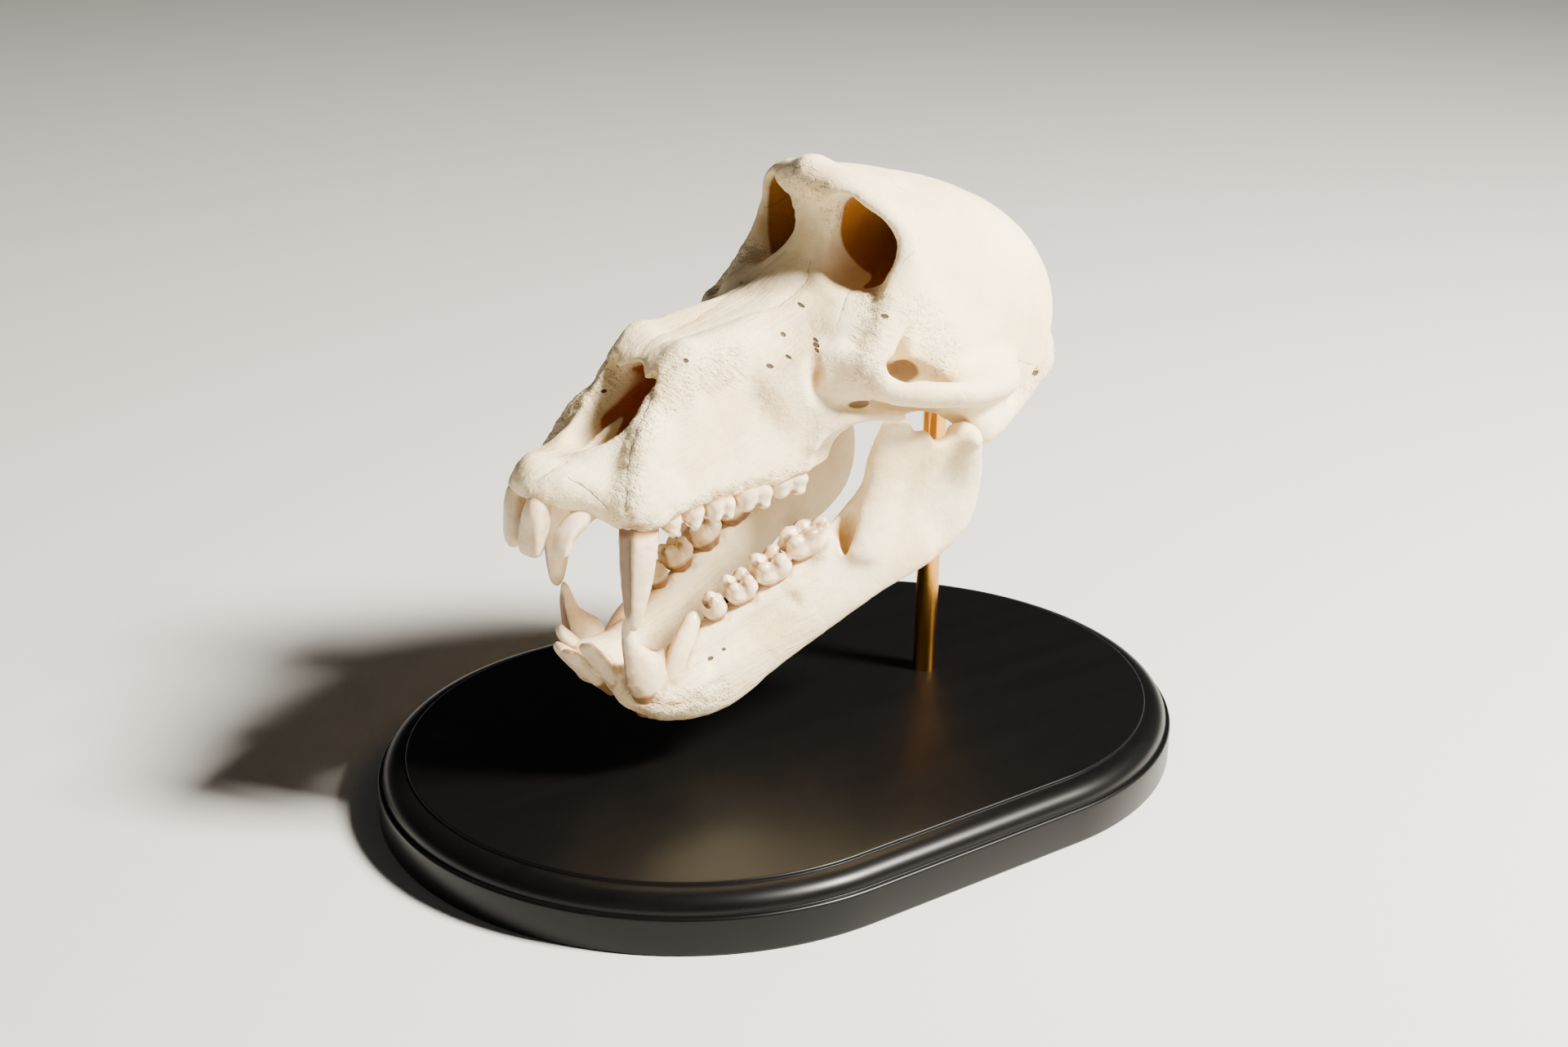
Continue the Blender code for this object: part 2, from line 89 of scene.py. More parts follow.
# Outlines of the left half, (y, z) from the mid-line on top round the outside to the mid-line below,
# at places along X: first the face and muzzle, then the braincase.
FACE = [
    (-102.3, [(0, 121.5), (1.5, 121.2), (3, 120.4), (4, 119.4), (4.6, 119.6), (4.6, 119), (4, 118.6),
        (3, 118.4), (1.5, 118.3), (0, 118.3)]),
    (-100, [(0, 123), (3, 122.6), (5.2, 121.6), (6.8, 120), (7.6, 119), (7.6, 118), (6.6, 117.2), (4.5, 117),
        (2.2, 117), (0, 117)]),
    (-96, [(0, 124.4), (3.5, 124), (6.5, 122.6), (8.8, 120.4), (9.8, 118.6), (9.8, 117), (8.6, 115.8),
        (5.5, 115.6), (2.5, 116), (0, 116.2)]),
    (-90, [(0, 126.2), (5, 126), (8.8, 124.4), (11.4, 121.6), (12.6, 118.4), (12.8, 116), (11.8, 113.6),
        (7, 113.4), (4, 114.4), (0, 115)]),
    (-84, [(0, 128), (5, 128.8), (9, 128.4), (12.2, 125.4), (14.2, 121), (15.2, 116.8), (14.8, 112.8), (9, 112),
        (5, 112.4), (0, 113)]),
    (-78, [(0, 130.5), (6, 131.6), (10.5, 131), (13.6, 127.4), (16.2, 122.4), (18.8, 117), (20.4, 110.4),
        (13, 109.6), (6, 112), (0, 113.4)]),
    (-72, [(0, 134.5), (7, 135.4), (12, 135), (15, 131.4), (17.8, 125.6), (23, 119), (26.6, 109.4), (16, 108.6),
        (8, 112), (0, 114.6)]),
    (-66, [(0, 141.5), (7, 142.8), (12.5, 142.4), (16, 138.6), (18.8, 131), (23.6, 122), (27, 110.4),
        (17, 109.8), (8, 112.5), (0, 115)]),
    (-60, [(0, 150.5), (6.5, 151), (12.4, 151.6), (16.5, 147), (18.4, 137), (23.2, 125), (27.2, 112),
        (18, 110.8), (9, 113.5), (0, 116)]),
    (-52, [(0, 156), (6, 156.8), (12.3, 158.6), (17.2, 154.5), (18.8, 143), (23, 129), (27.8, 113.6), (19, 112),
        (9.5, 115), (0, 117)]),
    (-44, [(0, 157.2), (6, 157.6), (12.3, 158.8), (17.4, 155), (19.2, 143), (23.6, 130), (28.6, 114.4),
        (19, 113), (10, 115.5), (0, 118)]),
    (-34, [(0, 159), (6, 159.4), (12.3, 160), (17.8, 156.4), (20.4, 145), (25, 130), (29.8, 114.6), (19, 113.2),
        (10, 116.5), (0, 119)]),
    (-24, [(0, 161.6), (6, 161.8), (11.6, 162), (17.6, 157.6), (22, 148.5), (27, 132), (31, 116), (19, 114.5),
        (10, 118), (0, 120)]),
    (-14, [(0, 165.4), (5.6, 165.2), (10.4, 164.4), (18, 160.8), (25.6, 152.4), (30.6, 136), (31.2, 117.5),
        (18, 117), (10, 119), (0, 121)]),
    (-6, [(0, 170.6), (5, 170.2), (9.2, 168.8), (19, 164.8), (30, 156), (34, 140), (30, 120), (16, 118),
        (9, 121), (0, 122)]),
    (2, [(0, 179), (4.2, 178.4), (7.8, 176.6), (21, 170.5), (35, 159), (37, 146), (28, 128), (15, 121),
        (8, 123), (0, 124)]),
    (7, [(0, 190), (4.6, 188), (8.4, 183), (22, 171), (36, 160), (37, 150), (27, 131), (14, 123), (7, 124),
        (0, 125)]),
]
BRAINCASE = [
    (6, [(0, 199.6), (7, 198.6), (13, 195.6), (18, 190), (21, 182), (22, 172), (22, 162), (21, 152), (18, 142),
        (10, 134), (0, 130)]),
    (13, [(0, 201.6), (8.5, 200.8), (17, 198), (25.4, 193), (31.6, 186), (34.8, 177), (36.8, 164), (38, 151),
        (31, 140), (11, 132), (0, 128)]),
    (20, [(0, 201), (9.5, 200), (18.5, 196.6), (26.4, 191), (31.8, 183.4), (34.4, 174), (36.2, 162),
        (37.8, 149), (31, 137), (12, 130), (0, 126)]),
    (30, [(0, 199), (10, 198), (19, 194), (26.2, 187.4), (31, 178.6), (33.4, 168), (36, 156.5), (37.2, 143),
        (26, 132), (13, 124), (0, 122)]),
    (42, [(0, 196.2), (11, 194.6), (20, 189.5), (27, 181.5), (31, 171.5), (33.6, 161), (35.4, 149), (34.6, 138),
        (28, 127), (15, 117), (0, 115)]),
    (54, [(0, 192.8), (11.5, 190.6), (20.5, 185), (27, 177), (31, 167.5), (33, 157), (33.5, 146), (32, 134.5),
        (27, 123), (15, 113), (0, 110)]),
    (66, [(0, 188), (11, 185.6), (20, 179.8), (26, 171.5), (29.5, 162), (31, 152), (31, 142), (29.8, 131.5),
        (25, 121), (14, 112.5), (0, 109)]),
    (78, [(0, 181.8), (10.5, 179.4), (18.5, 173.6), (24, 165.5), (27, 156.5), (28, 147.5), (27.6, 138.5),
        (26.6, 129.8), (22, 120.5), (12.5, 113.5), (0, 111)]),
    (88, [(0, 173.8), (9, 171.6), (15.8, 166.4), (20.2, 159.4), (22.4, 151.8), (22.6, 144), (21.8, 136.6),
        (20.6, 129.4), (15.6, 122.4), (9.4, 117.4), (0, 115)]),
    (95, [(0, 165.4), (7.4, 163.4), (12.6, 158.8), (15.8, 152.6), (17, 146.2), (16.8, 140), (15.6, 134.6),
        (13.6, 129.6), (10.6, 125.4), (6, 122.2), (0, 121)]),
    (100, [(0, 156), (4.8, 154.6), (8, 151), (9.8, 146.4), (10.2, 142), (9.8, 138), (8.6, 134.6), (7, 131.8),
        (5, 129.8), (2.6, 128.8), (0, 128.4)]),
    (103, [(0, 146), (2, 145.4), (3.4, 144), (4.2, 142.2), (4.4, 140.4), (4.2, 138.8), (3.6, 137.4),
        (2.8, 136.4), (2, 135.8), (1, 135.4), (0, 135.2)]),
]

# A ball is (centre, radii). A strap is a list of stations (x, y, z, half height, half thickness).
# Forms with y > 0 are repeated on the other side. First what the cranium is built up from.
CRANIUM_BALLS = [((5, 24.5, 158), (13, 10.6, 8)), ((48, 31, 124), (12, 8, 9.5)), ((48, 0, 123), (30, 11, 8)),
                 ((81, 9, 113), (8, 5, 6))]
BROW = [(6, 0, 198.6, 6, 6), (7, 12, 196.8, 5.5, 5.6), (10, 21, 194, 5, 5.2), (13.5, 28.6, 190, 4.4, 4.6),
        (16.5, 32.6, 184, 4, 4.2), (17, 33.6, 176, 4, 4), (13, 33, 167, 4.5, 4.5), (5, 28, 160, 6, 5)]
UPPER_SOCKETS = [(-66, 22, 115.6, 5.5, 5), (-73, 20.6, 115, 8, 6.2), (-79, 16.4, 115.8, 6, 5.4),
                 (-85.5, 12, 118.6, 5, 4.6), (-92, 6.5, 121.4, 5, 4.4), (-95.5, 0, 122, 4.8, 4.2)]
CANINE_ROOT = [(-73.2, 21.2, 114, 7, 5.4), (-72, 20.2, 120, 6.8, 5.2), (-69.5, 18.6, 128, 6, 4.6),
               (-66, 16.6, 135, 4.6, 3.4)]
CHEEK_LIP = [(-15, 30.5, 125, 2.5, 3), (-12, 32, 129.5, 2.4, 2.6), (-6, 36, 133, 2, 2.4),
             (3, 38.5, 132.8, 1.7, 2.2), (15, 41, 130.6, 1.5, 2)]
CHEEK = [(-19.5, 21, 137, 14, 7.6), (-8, 28.2, 145, 10.8, 6.4), (-2.4, 36.4, 146, 8.8, 5.2),
         (2.6, 42, 142.4, 5.6, 4.2), (14, 46.2, 139.7, 5, 3.6), (26, 47.5, 137.6, 5.2, 3.4),
         (37, 45.5, 135.8, 5.6, 4), (47, 41, 135, 6, 5), (57, 35, 133.5, 6, 5)]
ARCH_ROOT = [(33, 39.5, 138.6, 4.2, 6.5), (46, 36, 137.4, 5, 7.5), (59, 31, 136, 6, 6)]
CHEEK_PILLAR = [(16, 33.8, 178, 5, 3), (12.5, 35.2, 168, 6.5, 3.5), (7, 37.4, 160, 5.4, 3.6),
                (-0.4, 40.2, 151, 4.6, 3.4)]
NUCHAL_CREST = [(106, 0, 128.5, 7, 4), (99, 9, 127, 6, 4), (86, 17, 125, 4.6, 3.6), (70, 25.4, 121, 4.6, 3.6),
                (58, 31, 119.5, 5, 4.6), (49, 35, 119, 5, 4.5)]
CRANIUM_STRAPS = [BROW, UPPER_SOCKETS, CANINE_ROOT, CHEEK, CHEEK_LIP, ARCH_ROOT, CHEEK_PILLAR, NUCHAL_CREST]

# What is cut from the cranium, and the thin ridge that stands inside the nose.
CRANIUM_CUT_BALLS = [((-40, 0, 107), (40, 14, 10)), ((8, 0, 112), (22, 13, 18)), ((10, 29, 115), (17, 12, 16)),
                     ((90, 0, 110), (9, 8, 8)), ((37, 39, 118.5), (6.5, 13, 7.5)),
                     ((43, 17, 114), (12, 12.6, 9.6)), ((52, 0, 106.6), (15, 16, 9.4)),
                     ((-63, 1.4, 148.5), (2.8, 1.8, 3.4)), ((-61, 10.6, 147), (3, 1.8, 3.6)),
                     ((81, 26, 129.4), (1.8, 3, 1.3))]
BROW_HOLLOW = [(1, 17.8, 193, 3.4, 4), (6, 17.6, 192, 4.4, 4.4), (13, 16.8, 189, 4.2, 4.2)]
ORBIT = [(-12, 24, 181, 13, 13.5), (4, 22.2, 181, 12.8, 13), (15, 20, 180.5, 12, 11.4), (24, 17, 179.5, 9.5, 9),
         (32, 14, 178.5, 5, 5)]
NASAL_APERTURE = [(-87, 0, 130, 2.5, 2.5), (-80, 0, 132, 4.5, 6.5), (-74, 0, 136.5, 6.5, 10.2),
                  (-69.4, 0, 141, 7.2, 11.6)]
NASAL_CAVITY = [(-76, 0, 131, 4, 7), (-66, 0, 137.5, 7.6, 10.5), (-57, 0, 140.6, 8.6, 10),
                (-48, 0, 140, 9, 9.5), (-30, 0, 136, 8, 9), (0, 0, 130, 9, 9), (16, 0, 124, 7, 9)]
TEMPORAL_HOLLOW = [(9, 38.4, 147.4, 2.4, 2.4), (11, 38, 144.8, 3, 3), (15, 37.4, 142, 3.4, 3.4),
                   (20, 36.5, 134, 9, 7), (23, 36, 122, 14, 12)]
REAR_MARGIN = [(-12, 33, 119.5, 4.8, 5), (-9.8, 33, 123.3, 4.8, 5), (-6.6, 33.6, 126, 3.4, 4)]
ARCH_GAP = [(0.6, 48.4, 151.8, 2.2, 2.2), (7, 40.4, 147.8, 2.8, 2.8), (15, 35.6, 144.2, 3.2, 3.2)]
ARCH_GAP_REAR = [(6, 48.8, 148.2, 1.8, 1.8), (12.4, 40.4, 144.2, 2.4, 2.4), (18, 36.2, 141, 3, 3)]
CHEEK_GROOVE = [(-13.4, 29.4, 159, 1.2, 1.8), (-16, 30.6, 154.8, 1.8, 2.6), (-16.6, 31.6, 149.8, 2.2, 2.8),
                (-16, 31.8, 144.6, 2.2, 2.8), (-14, 32.4, 139.6, 2.2, 2.4), (-10, 35, 137, 2, 2),
                (-4, 37.6, 138, 1.6, 2), (3, 40.4, 137, 1.2, 2)]
INFRAORBITAL_GROOVE = [(-48, 19.6, 143, 1.4, 1.4), (-36.2, 21.4, 146, 1.4, 1.4), (-29.3, 25.8, 149.8, 1.2, 1.4)]
CRANIUM_CUT_STRAPS = [ORBIT, NASAL_APERTURE, NASAL_CAVITY, TEMPORAL_HOLLOW, REAR_MARGIN, ARCH_GAP,
                      ARCH_GAP_REAR, CHEEK_GROOVE, BROW_HOLLOW, INFRAORBITAL_GROOVE]
NASAL_RIDGE = [(-85, 0, 120.6, 3, 1.7), (-78.4, 0, 124.4, 3, 1.6), (-71.1, 0, 128.9, 3, 1.5),
               (-65.3, 0, 131.4, 3, 1.4), (-57.9, 0, 133.7, 3, 1.2), (-40, 0, 134, 4, 1.2)]

# The lower jaw, built up and cut in the same way.
MANDIBLE_BALLS = [((40, 37, 118.6), (3.8, 7.5, 3.8))]
SYMPHYSIS = [(-77.5, 0, 58.5, 4.5, 10), (-72, 0, 56.5, 6.5, 11.5), (-64, 0, 51, 8.5, 13.5), (-54, 0, 45, 9, 14),
             (-47, 0, 43, 6, 10)]
JAW_BODY = [(-66, 9.5, 53, 7, 6), (-58, 13.5, 49.5, 11.5, 7), (-44, 16.3, 52.5, 14.5, 6.5),
            (-28, 18.8, 61, 13.7, 6.2), (-8, 22, 71, 13.2, 6.5), (10.6, 25.6, 80.3, 12.8, 5.5),
            (27, 28, 87.5, 13, 4)]
CHIN_MARGIN = [(-71, 12, 48.8, 3.4, 4), (-65.6, 15.6, 47, 4.2, 4.4), (-59.6, 17.6, 46.6, 4.2, 4),
               (-52, 18.8, 49.2, 4, 3.8)]
JAW_SPUR = [(-6, 22.6, 86.2, 3.4, 3), (0, 23.4, 91.6, 2.8, 2.4), (7, 24.4, 98.6, 2.4, 2.2),
            (14, 27.4, 105, 2.4, 2.2)]
RAMUS = [(14, 26.6, 84, 12.5, 4), (24.5, 28.4, 95, 18, 3.6), (26.6, 31.4, 107, 17.6, 3.2),
         (26, 34.4, 116, 15, 2.8), (24, 35.6, 121, 13.4, 2.2)]
JAW_ANGLE = [(20, 25, 81, 9, 4), (33.2, 27.4, 83.2, 9, 4), (41.2, 29.4, 89.8, 9, 4), (44.4, 31.6, 101, 7, 3.5),
             (41, 36.4, 113, 5, 4)]
CORONOID = [(6.4, 28.4, 85, 6, 4.2), (9.6, 29.4, 95, 6, 3.5), (12.2, 29.8, 104, 6.2, 3.5),
            (12.4, 31.8, 117, 6.2, 3), (14.4, 33.8, 126, 6, 2.4)]
MANDIBLE_STRAPS = [SYMPHYSIS, JAW_BODY, CHIN_MARGIN, JAW_SPUR, RAMUS, JAW_ANGLE, CORONOID]
MANDIBLE_CUT_BALLS = [((30.6, 36, 129), (6.6, 12, 10.4))]
JAW_HOLLOW = [(-46, 23.7, 58.5, 4.4, 4), (-34, 25, 65, 5.6, 4.8), (-20, 27.7, 73, 4.6, 4.5)]
SPUR_HOLLOW = [(-1.2, 26.2, 92, 2.2, 2.2), (1.8, 26.5, 96.5, 3, 2.6), (2.6, 26.5, 91, 3.4, 2.8),
               (2, 26.7, 85.6, 2.2, 2.2)]

# Lines on the bone, as points of the side with y > 0: seams and grooves with depth, half width and
# darkness, then bands of rough bone with their half width.
SEAMS = [
    ([(-62, 12.9, 148), (-66.4, 14.8, 140.3), (-72.9, 18, 132.3), (-76.6, 20.5, 125), (-79, 23.3, 118.7),
      (-79, 25, 108)], 0.35, 1.1, 0.6),
    ([(-56, 1.5, 149), (-48, 3.4, 156.5), (-35.6, 4.6, 158.9), (-22, 8.4, 161.5), (-15, 11.2, 164.3),
      (-4.5, 10.7, 170), (0, 6.6, 175)], 0.45, 1.6, 0.35),
    ([(6.6, 20.4, 168.3), (-6.8, 29.5, 163.5), (-14, 31, 159)], 0.2, 1, 0.3),
    ([(2, 0, 194), (4, 5, 193.6), (6, 9.5, 193)], 0.2, 1, 0.3),
    ([(20, 30, 186), (17, 37, 183), (12, 38, 180)], 0.15, 0.9, 0.3),
    ([(24, 51, 142.5), (30, 51.5, 133)], 0.15, 0.9, 0.25),
    ([(26, 15, 197), (29, 19, 194.5), (28, 23, 191)], 0.1, 0.8, 0.3),
    ([(58, 38, 140), (70, 32, 136), (80, 29, 132)], 0.2, 1, 0.3),
    ([(-62, 15, 151), (-52, 16.8, 156.4), (-44, 17, 156.6), (-36, 17.2, 155)], 0.25, 1.4, 0.2),
    ([(-90.3, 11.9, 122.7), (-87, 15.5, 120.5), (-84, 19.5, 116)], 0.3, 1.2, 0.5),
    ([(-71, 18, 48.6), (-67.6, 20.3, 47.8), (-64, 22, 46.9), (-59, 23.3, 46.4),
      (-53, 24, 46.4)], 0.6, 1.6, 0.9),
    ([(-102, 3.4, 119.6), (-101.3, 4.9, 121), (-99.4, 6.4, 122.4), (-95.4, 7.6, 125.5),
      (-90, 7.1, 127)], 0.5, 1.4, 0.45),
]
ROUGH_BANDS = [
    ([(-70, 16, 136), (-64, 15, 143), (-57, 17, 148), (-48, 18, 151), (-40, 18, 151)], 8),
    ([(17, 37, 162), (24, 36, 155), (30, 36, 148)], 9),
    ([(3, 0, 197), (6, 8, 194), (6, 12, 186)], 5),
    ([(-72, 18, 134), (-76, 20, 127), (-79, 23, 115), (-78, 20, 110), (-73, 26.5, 109)], 5),
    ([(9, 25, 166), (3, 34.6, 167.6), (-2, 38, 158), (-4, 40, 148)], 6),
    ([(108, 0, 130), (97, 10, 128), (84, 22, 127), (72, 28, 124)], 5),
    ([(-66, 27, 112), (-50, 27.6, 115), (-34, 29.4, 116), (-20, 31, 118)], 2.5),
    ([(-72, 8, 44), (-66, 16, 45), (-60.8, 20, 45), (-50, 22.5, 47), (-44, 22.5, 47)], 5),
]

# Ovals that the bone's material paints on both sides, each (centre, half sizes): small holes for
# nerves and vessels, their darkness painted shade; ochre stains, which also paint the shade of the
# hollows most of them lie in; faint painted shade in hollows; and dark painted shade in the hollows
# by the cheek arch.
HOLES = [((-26.8, 22.6, 149.6), (1, 6, 0.65)), ((-21.2, 27.6, 152), (0.8, 6, 0.7)),
         ((-19.3, 18.9, 157.4), (0.8, 5, 0.7)), ((-10, 16.4, 164.3), (0.7, 4, 0.7)),
         ((-53.2, 16.8, 154.3), (0.8, 4, 0.6)), ((3.9, 37, 164), (1.2, 6, 0.7)),
         ((82.2, 24, 128.6), (2.2, 5, 0.9)), ((-63.8, 11, 139.4), (1.2, 4, 0.6)),
         ((-12.4, 26.4, 156.6), (0.7, 1.7, 1.1)), ((-13.1, 27.3, 155), (0.8, 1.7, 1.1)),
         ((-13.9, 28.3, 153.6), (0.6, 1.7, 1.1)), ((-46, 21, 57.5), (1.2, 5, 0.7)),
         ((-41, 21.5, 59.4), (0.8, 5, 0.6))]
OCHRE_STAINS_AND_SHADE = [((-14.4, 29.2, 148.5), (2, 3.6, 9.5)), ((1.8, 25, 90.5), (5.4, 3, 9)),
          ((-63, 22.5, 46.6), (8, 4, 1.6)), ((98, 8, 127), (6, 5, 1.4))]
SHADES = [((42, 36, 118), (9, 9, 8)), ((-30, 27, 67), (17, 5, 4))]
DARK_HOLLOW_SHADE = [((17, 31.6, 143.4), (9, 4.5, 7.6)), ((-2.4, 36, 136.8), (4.8, 3, 1.3))]


def unit(vectors):
    """Vectors divided by their lengths."""
    return vectors / np.maximum(np.linalg.norm(vectors, axis=-1, keepdims=True), 1e-9)


def smoothstep(low, high, x):
    """0 below low, 1 above high, and an S curve between them."""
    t = np.clip((x - low) / (high - low), 0, 1)
    return t * t * (3 - 2 * t)


def soft_maximum(values, sharpness):
    """The largest along the first axis with rounded edges: the log of the sum of exp(sharpness v)."""
    return np.log(np.exp(values * sharpness).sum(axis=0)) / sharpness


def catmull_rom(a, b, c, d, t):
    """The smooth curve from b to c, whose neighbours are a and d, at t from 0 to 1."""
    return 0.5 * (2 * b + (c - a) * t + (2 * a - 5 * b + 4 * c - d) * t ** 2 + (3 * b - a - 3 * c + d) * t ** 3)


def smooth_path(stations, spacing):
    """Catmull-Rom curve through the stations, a point about every spacing, with all columns carried."""
    knots = np.array(stations, float)
    knots = np.vstack([2 * knots[0] - knots[1], knots, 2 * knots[-1] - knots[-2]])
    rows = []
    for a, b, c, d in zip(knots[:-3], knots[1:-2], knots[2:-1], knots[3:]):
        steps = max(2, int(np.ceil(np.linalg.norm((c - b)[:3]) / spacing)))
        rows.append(catmull_rom(a, b, c, d, np.linspace(0, 1, steps, endpoint=False)[:, None]))
    return np.vstack(rows + [knots[-2]])


def carried_axes(points, reference):
    """Tangent, up and side along a path, as columns; the side vector is carried on without twist."""
    tangents = unit(np.gradient(points, axis=0))
    side = np.array(reference, float)
    sides = []
    for tangent in tangents:
        side = side - tangent * (side @ tangent)
        side = side / np.linalg.norm(side)
        sides.append(side)
    sides = np.array(sides)
    return np.stack([tangents, np.cross(tangents, sides), sides], axis=2)


def corner_share(corner, fraction):
    """How much a corner of a unit cube counts at a point in it: near 1 at the corner, 0 at the others."""
    x, y, z = (fraction[:, i] if step else 1 - fraction[:, i] for i, step in enumerate(corner))
    return x * y * z


def value_noise(points, size, seed):
    """Smooth noise from -1 to 1: hashed values at the corners of cubes of that size, blended inside."""
    place = points / size
    cell = np.floor(place).astype(np.int64)
    f = place - cell
    f = f * f * f * (f * (f * 6 - 15) + 10)
    total = np.zeros(len(points))
    for corner in CORNERS:
        h = np.bitwise_xor.reduce((cell + corner) * HASH_FACTORS, axis=1)
        h = (h ^ (seed * HASH_SEED)) & LOW_BITS
        h = (h * HASH_STRETCH + HASH_SHIFT) & LOW_BITS
        h = ((h >> 13) ^ h) * HASH_FOLD & LOW_BITS
        total += corner_share(corner, f) * (h / (LOW_BITS >> 1) - 1.0)
    return total


def layered_noise(points, size, seed, layers):
    """Sum of noises, each half the size and 0.55 of the strength of the one before, over 1.8."""
    total, strength = np.zeros(len(points)), 1.0
    for layer in range(layers):
        total += strength * value_noise(points, size / 2 ** layer, seed + 17 * layer)
        strength *= 0.55
    return total / 1.8


def line_offsets(points, normals, line):
    """Distance along the surface to a line, and the same with a sign for the side of it.

    The way from the nearest spot of the line to the point loses its part along the normal, and counts as
    far away where that part is more than LINE_HEIGHT.
    """
    nearest = np.full(len(points), NO_LINE)
    signed = np.full(len(points), NO_LINE)
    for a, b in zip(np.array(line[:-1], float), np.array(line[1:], float)):
        run = b - a
        t = np.clip(((points - a) @ run) / (run @ run), 0, 1)
        way = points - a - t[:, None] * run
        height = (way * normals).sum(axis=1)
        way = way - height[:, None] * normals
        distance = np.linalg.norm(way, axis=1) + np.where(np.abs(height) > LINE_HEIGHT, OFF_SURFACE, 0)
        side = unit(np.cross(run, normals))
        better = distance < nearest
        nearest = np.where(better, distance, nearest)
        signed = np.where(better, (way * side).sum(axis=1), signed)
    return nearest, signed


def rounding(first, second, soft):
    """Fillet between two distances: soft / 4 where they are equal, 0 where they are soft apart."""
    h = np.maximum(soft - np.abs(first - second), 0) / soft
    return h * h * soft / 4


class Field:
    """Distances in millimetres on a regular grid, negative inside a form."""

    def __init__(self, low, step, values):
        self.low, self.step, self.field = low, step, values
        self.count = np.array(values.shape)

    def soften(self, rounds):
        """Each value becomes half itself and half the mean of its six neighbours."""
        for _ in range(rounds):
            f = np.pad(self.field, 1, mode="edge")
            mean = (f[2:, 1:-1, 1:-1] + f[:-2, 1:-1, 1:-1] + f[1:-1, 2:, 1:-1] + f[1:-1, :-2, 1:-1]
                    + f[1:-1, 1:-1, 2:] + f[1:-1, 1:-1, :-2]) / 6
            self.field = 0.5 * self.field + 0.5 * mean

    def sample(self, points):
        """Distance at any points, from the eight grid values round each."""
        place = (points - self.low) / self.step
        cell = np.clip(np.floor(place).astype(int), 0, self.count - 2)
        fraction = np.clip(place - cell, 0, 1)
        total = np.zeros(len(points))
        for corner in CORNERS:
            total += corner_share(corner, fraction) * self.field[tuple((cell + corner).T)]
        return total

    def slope(self, points):
        """Direction in which the distance grows, which is the surface's normal."""
        d = 0.75 * self.step
        rows = [(self.sample(points + shift) - self.sample(points - shift)) / (2 * d) for shift in np.eye(3) * d]
        return np.stack(rows, axis=1)

    def skin(self):
        """Points and quads where the field crosses zero: one point in each grid cell that the surface
        crosses, at the mean of the crossings on its edges, and one quad round each crossed grid edge."""
        inside = self.field < 0
        size = self.count - 1
        hits = np.zeros(size, np.int8)
        for x, y, z in CORNERS:
            hits += inside[x:x + size[0], y:y + size[1], z:z + size[2]]
        cells = np.argwhere((hits > 0) & (hits < 8))
        number = np.full(size, -1, np.int32)
        number[tuple(cells.T)] = np.arange(len(cells))
        total, count = np.zeros((len(cells), 3)), np.zeros(len(cells))
        for corner in np.array(CORNERS):
            for way in np.eye(3, dtype=int)[corner == 0]:
                start, end = (self.field[tuple((cells + spot).T)] for spot in (corner, corner + way))
                crossed = (start < 0) != (end < 0)
                t = np.where(crossed, start / np.where(crossed, start - end, 1), 0)
                total += np.where(crossed[:, None], corner + t[:, None] * way, 0)
                count += crossed
        points = self.low + self.step * (cells + total / count[:, None])
        quads = []
        for axis in range(3):
            u, v = (i for i in range(3) if i != axis)
            edges = np.argwhere(np.diff(inside, axis=axis))
            across = edges[:, [u, v]]
            edges = edges[((across > 0) & (across < size[[u, v]])).all(axis=1)]
            along_u, along_v = np.eye(3, dtype=int)[[u, v]]
            ring = np.stack([number[tuple((edges - i * along_u - j * along_v).T)]
                             for i, j in ((0, 0), (1, 0), (1, 1), (0, 1))], axis=1)
            turned = inside[tuple(edges.T)] == (axis == 1)
            ring[turned] = ring[turned][:, ::-1]
            quads.append(ring)
        return points, np.vstack(quads)

    def settle(self, points):
        """Slide points along the slope, four times, to where the distance is zero."""
        for _ in range(4):
            g = self.slope(points)
            points = points - g * (self.sample(points) / np.maximum((g * g).sum(axis=1), 0.05))[:, None]
        return points


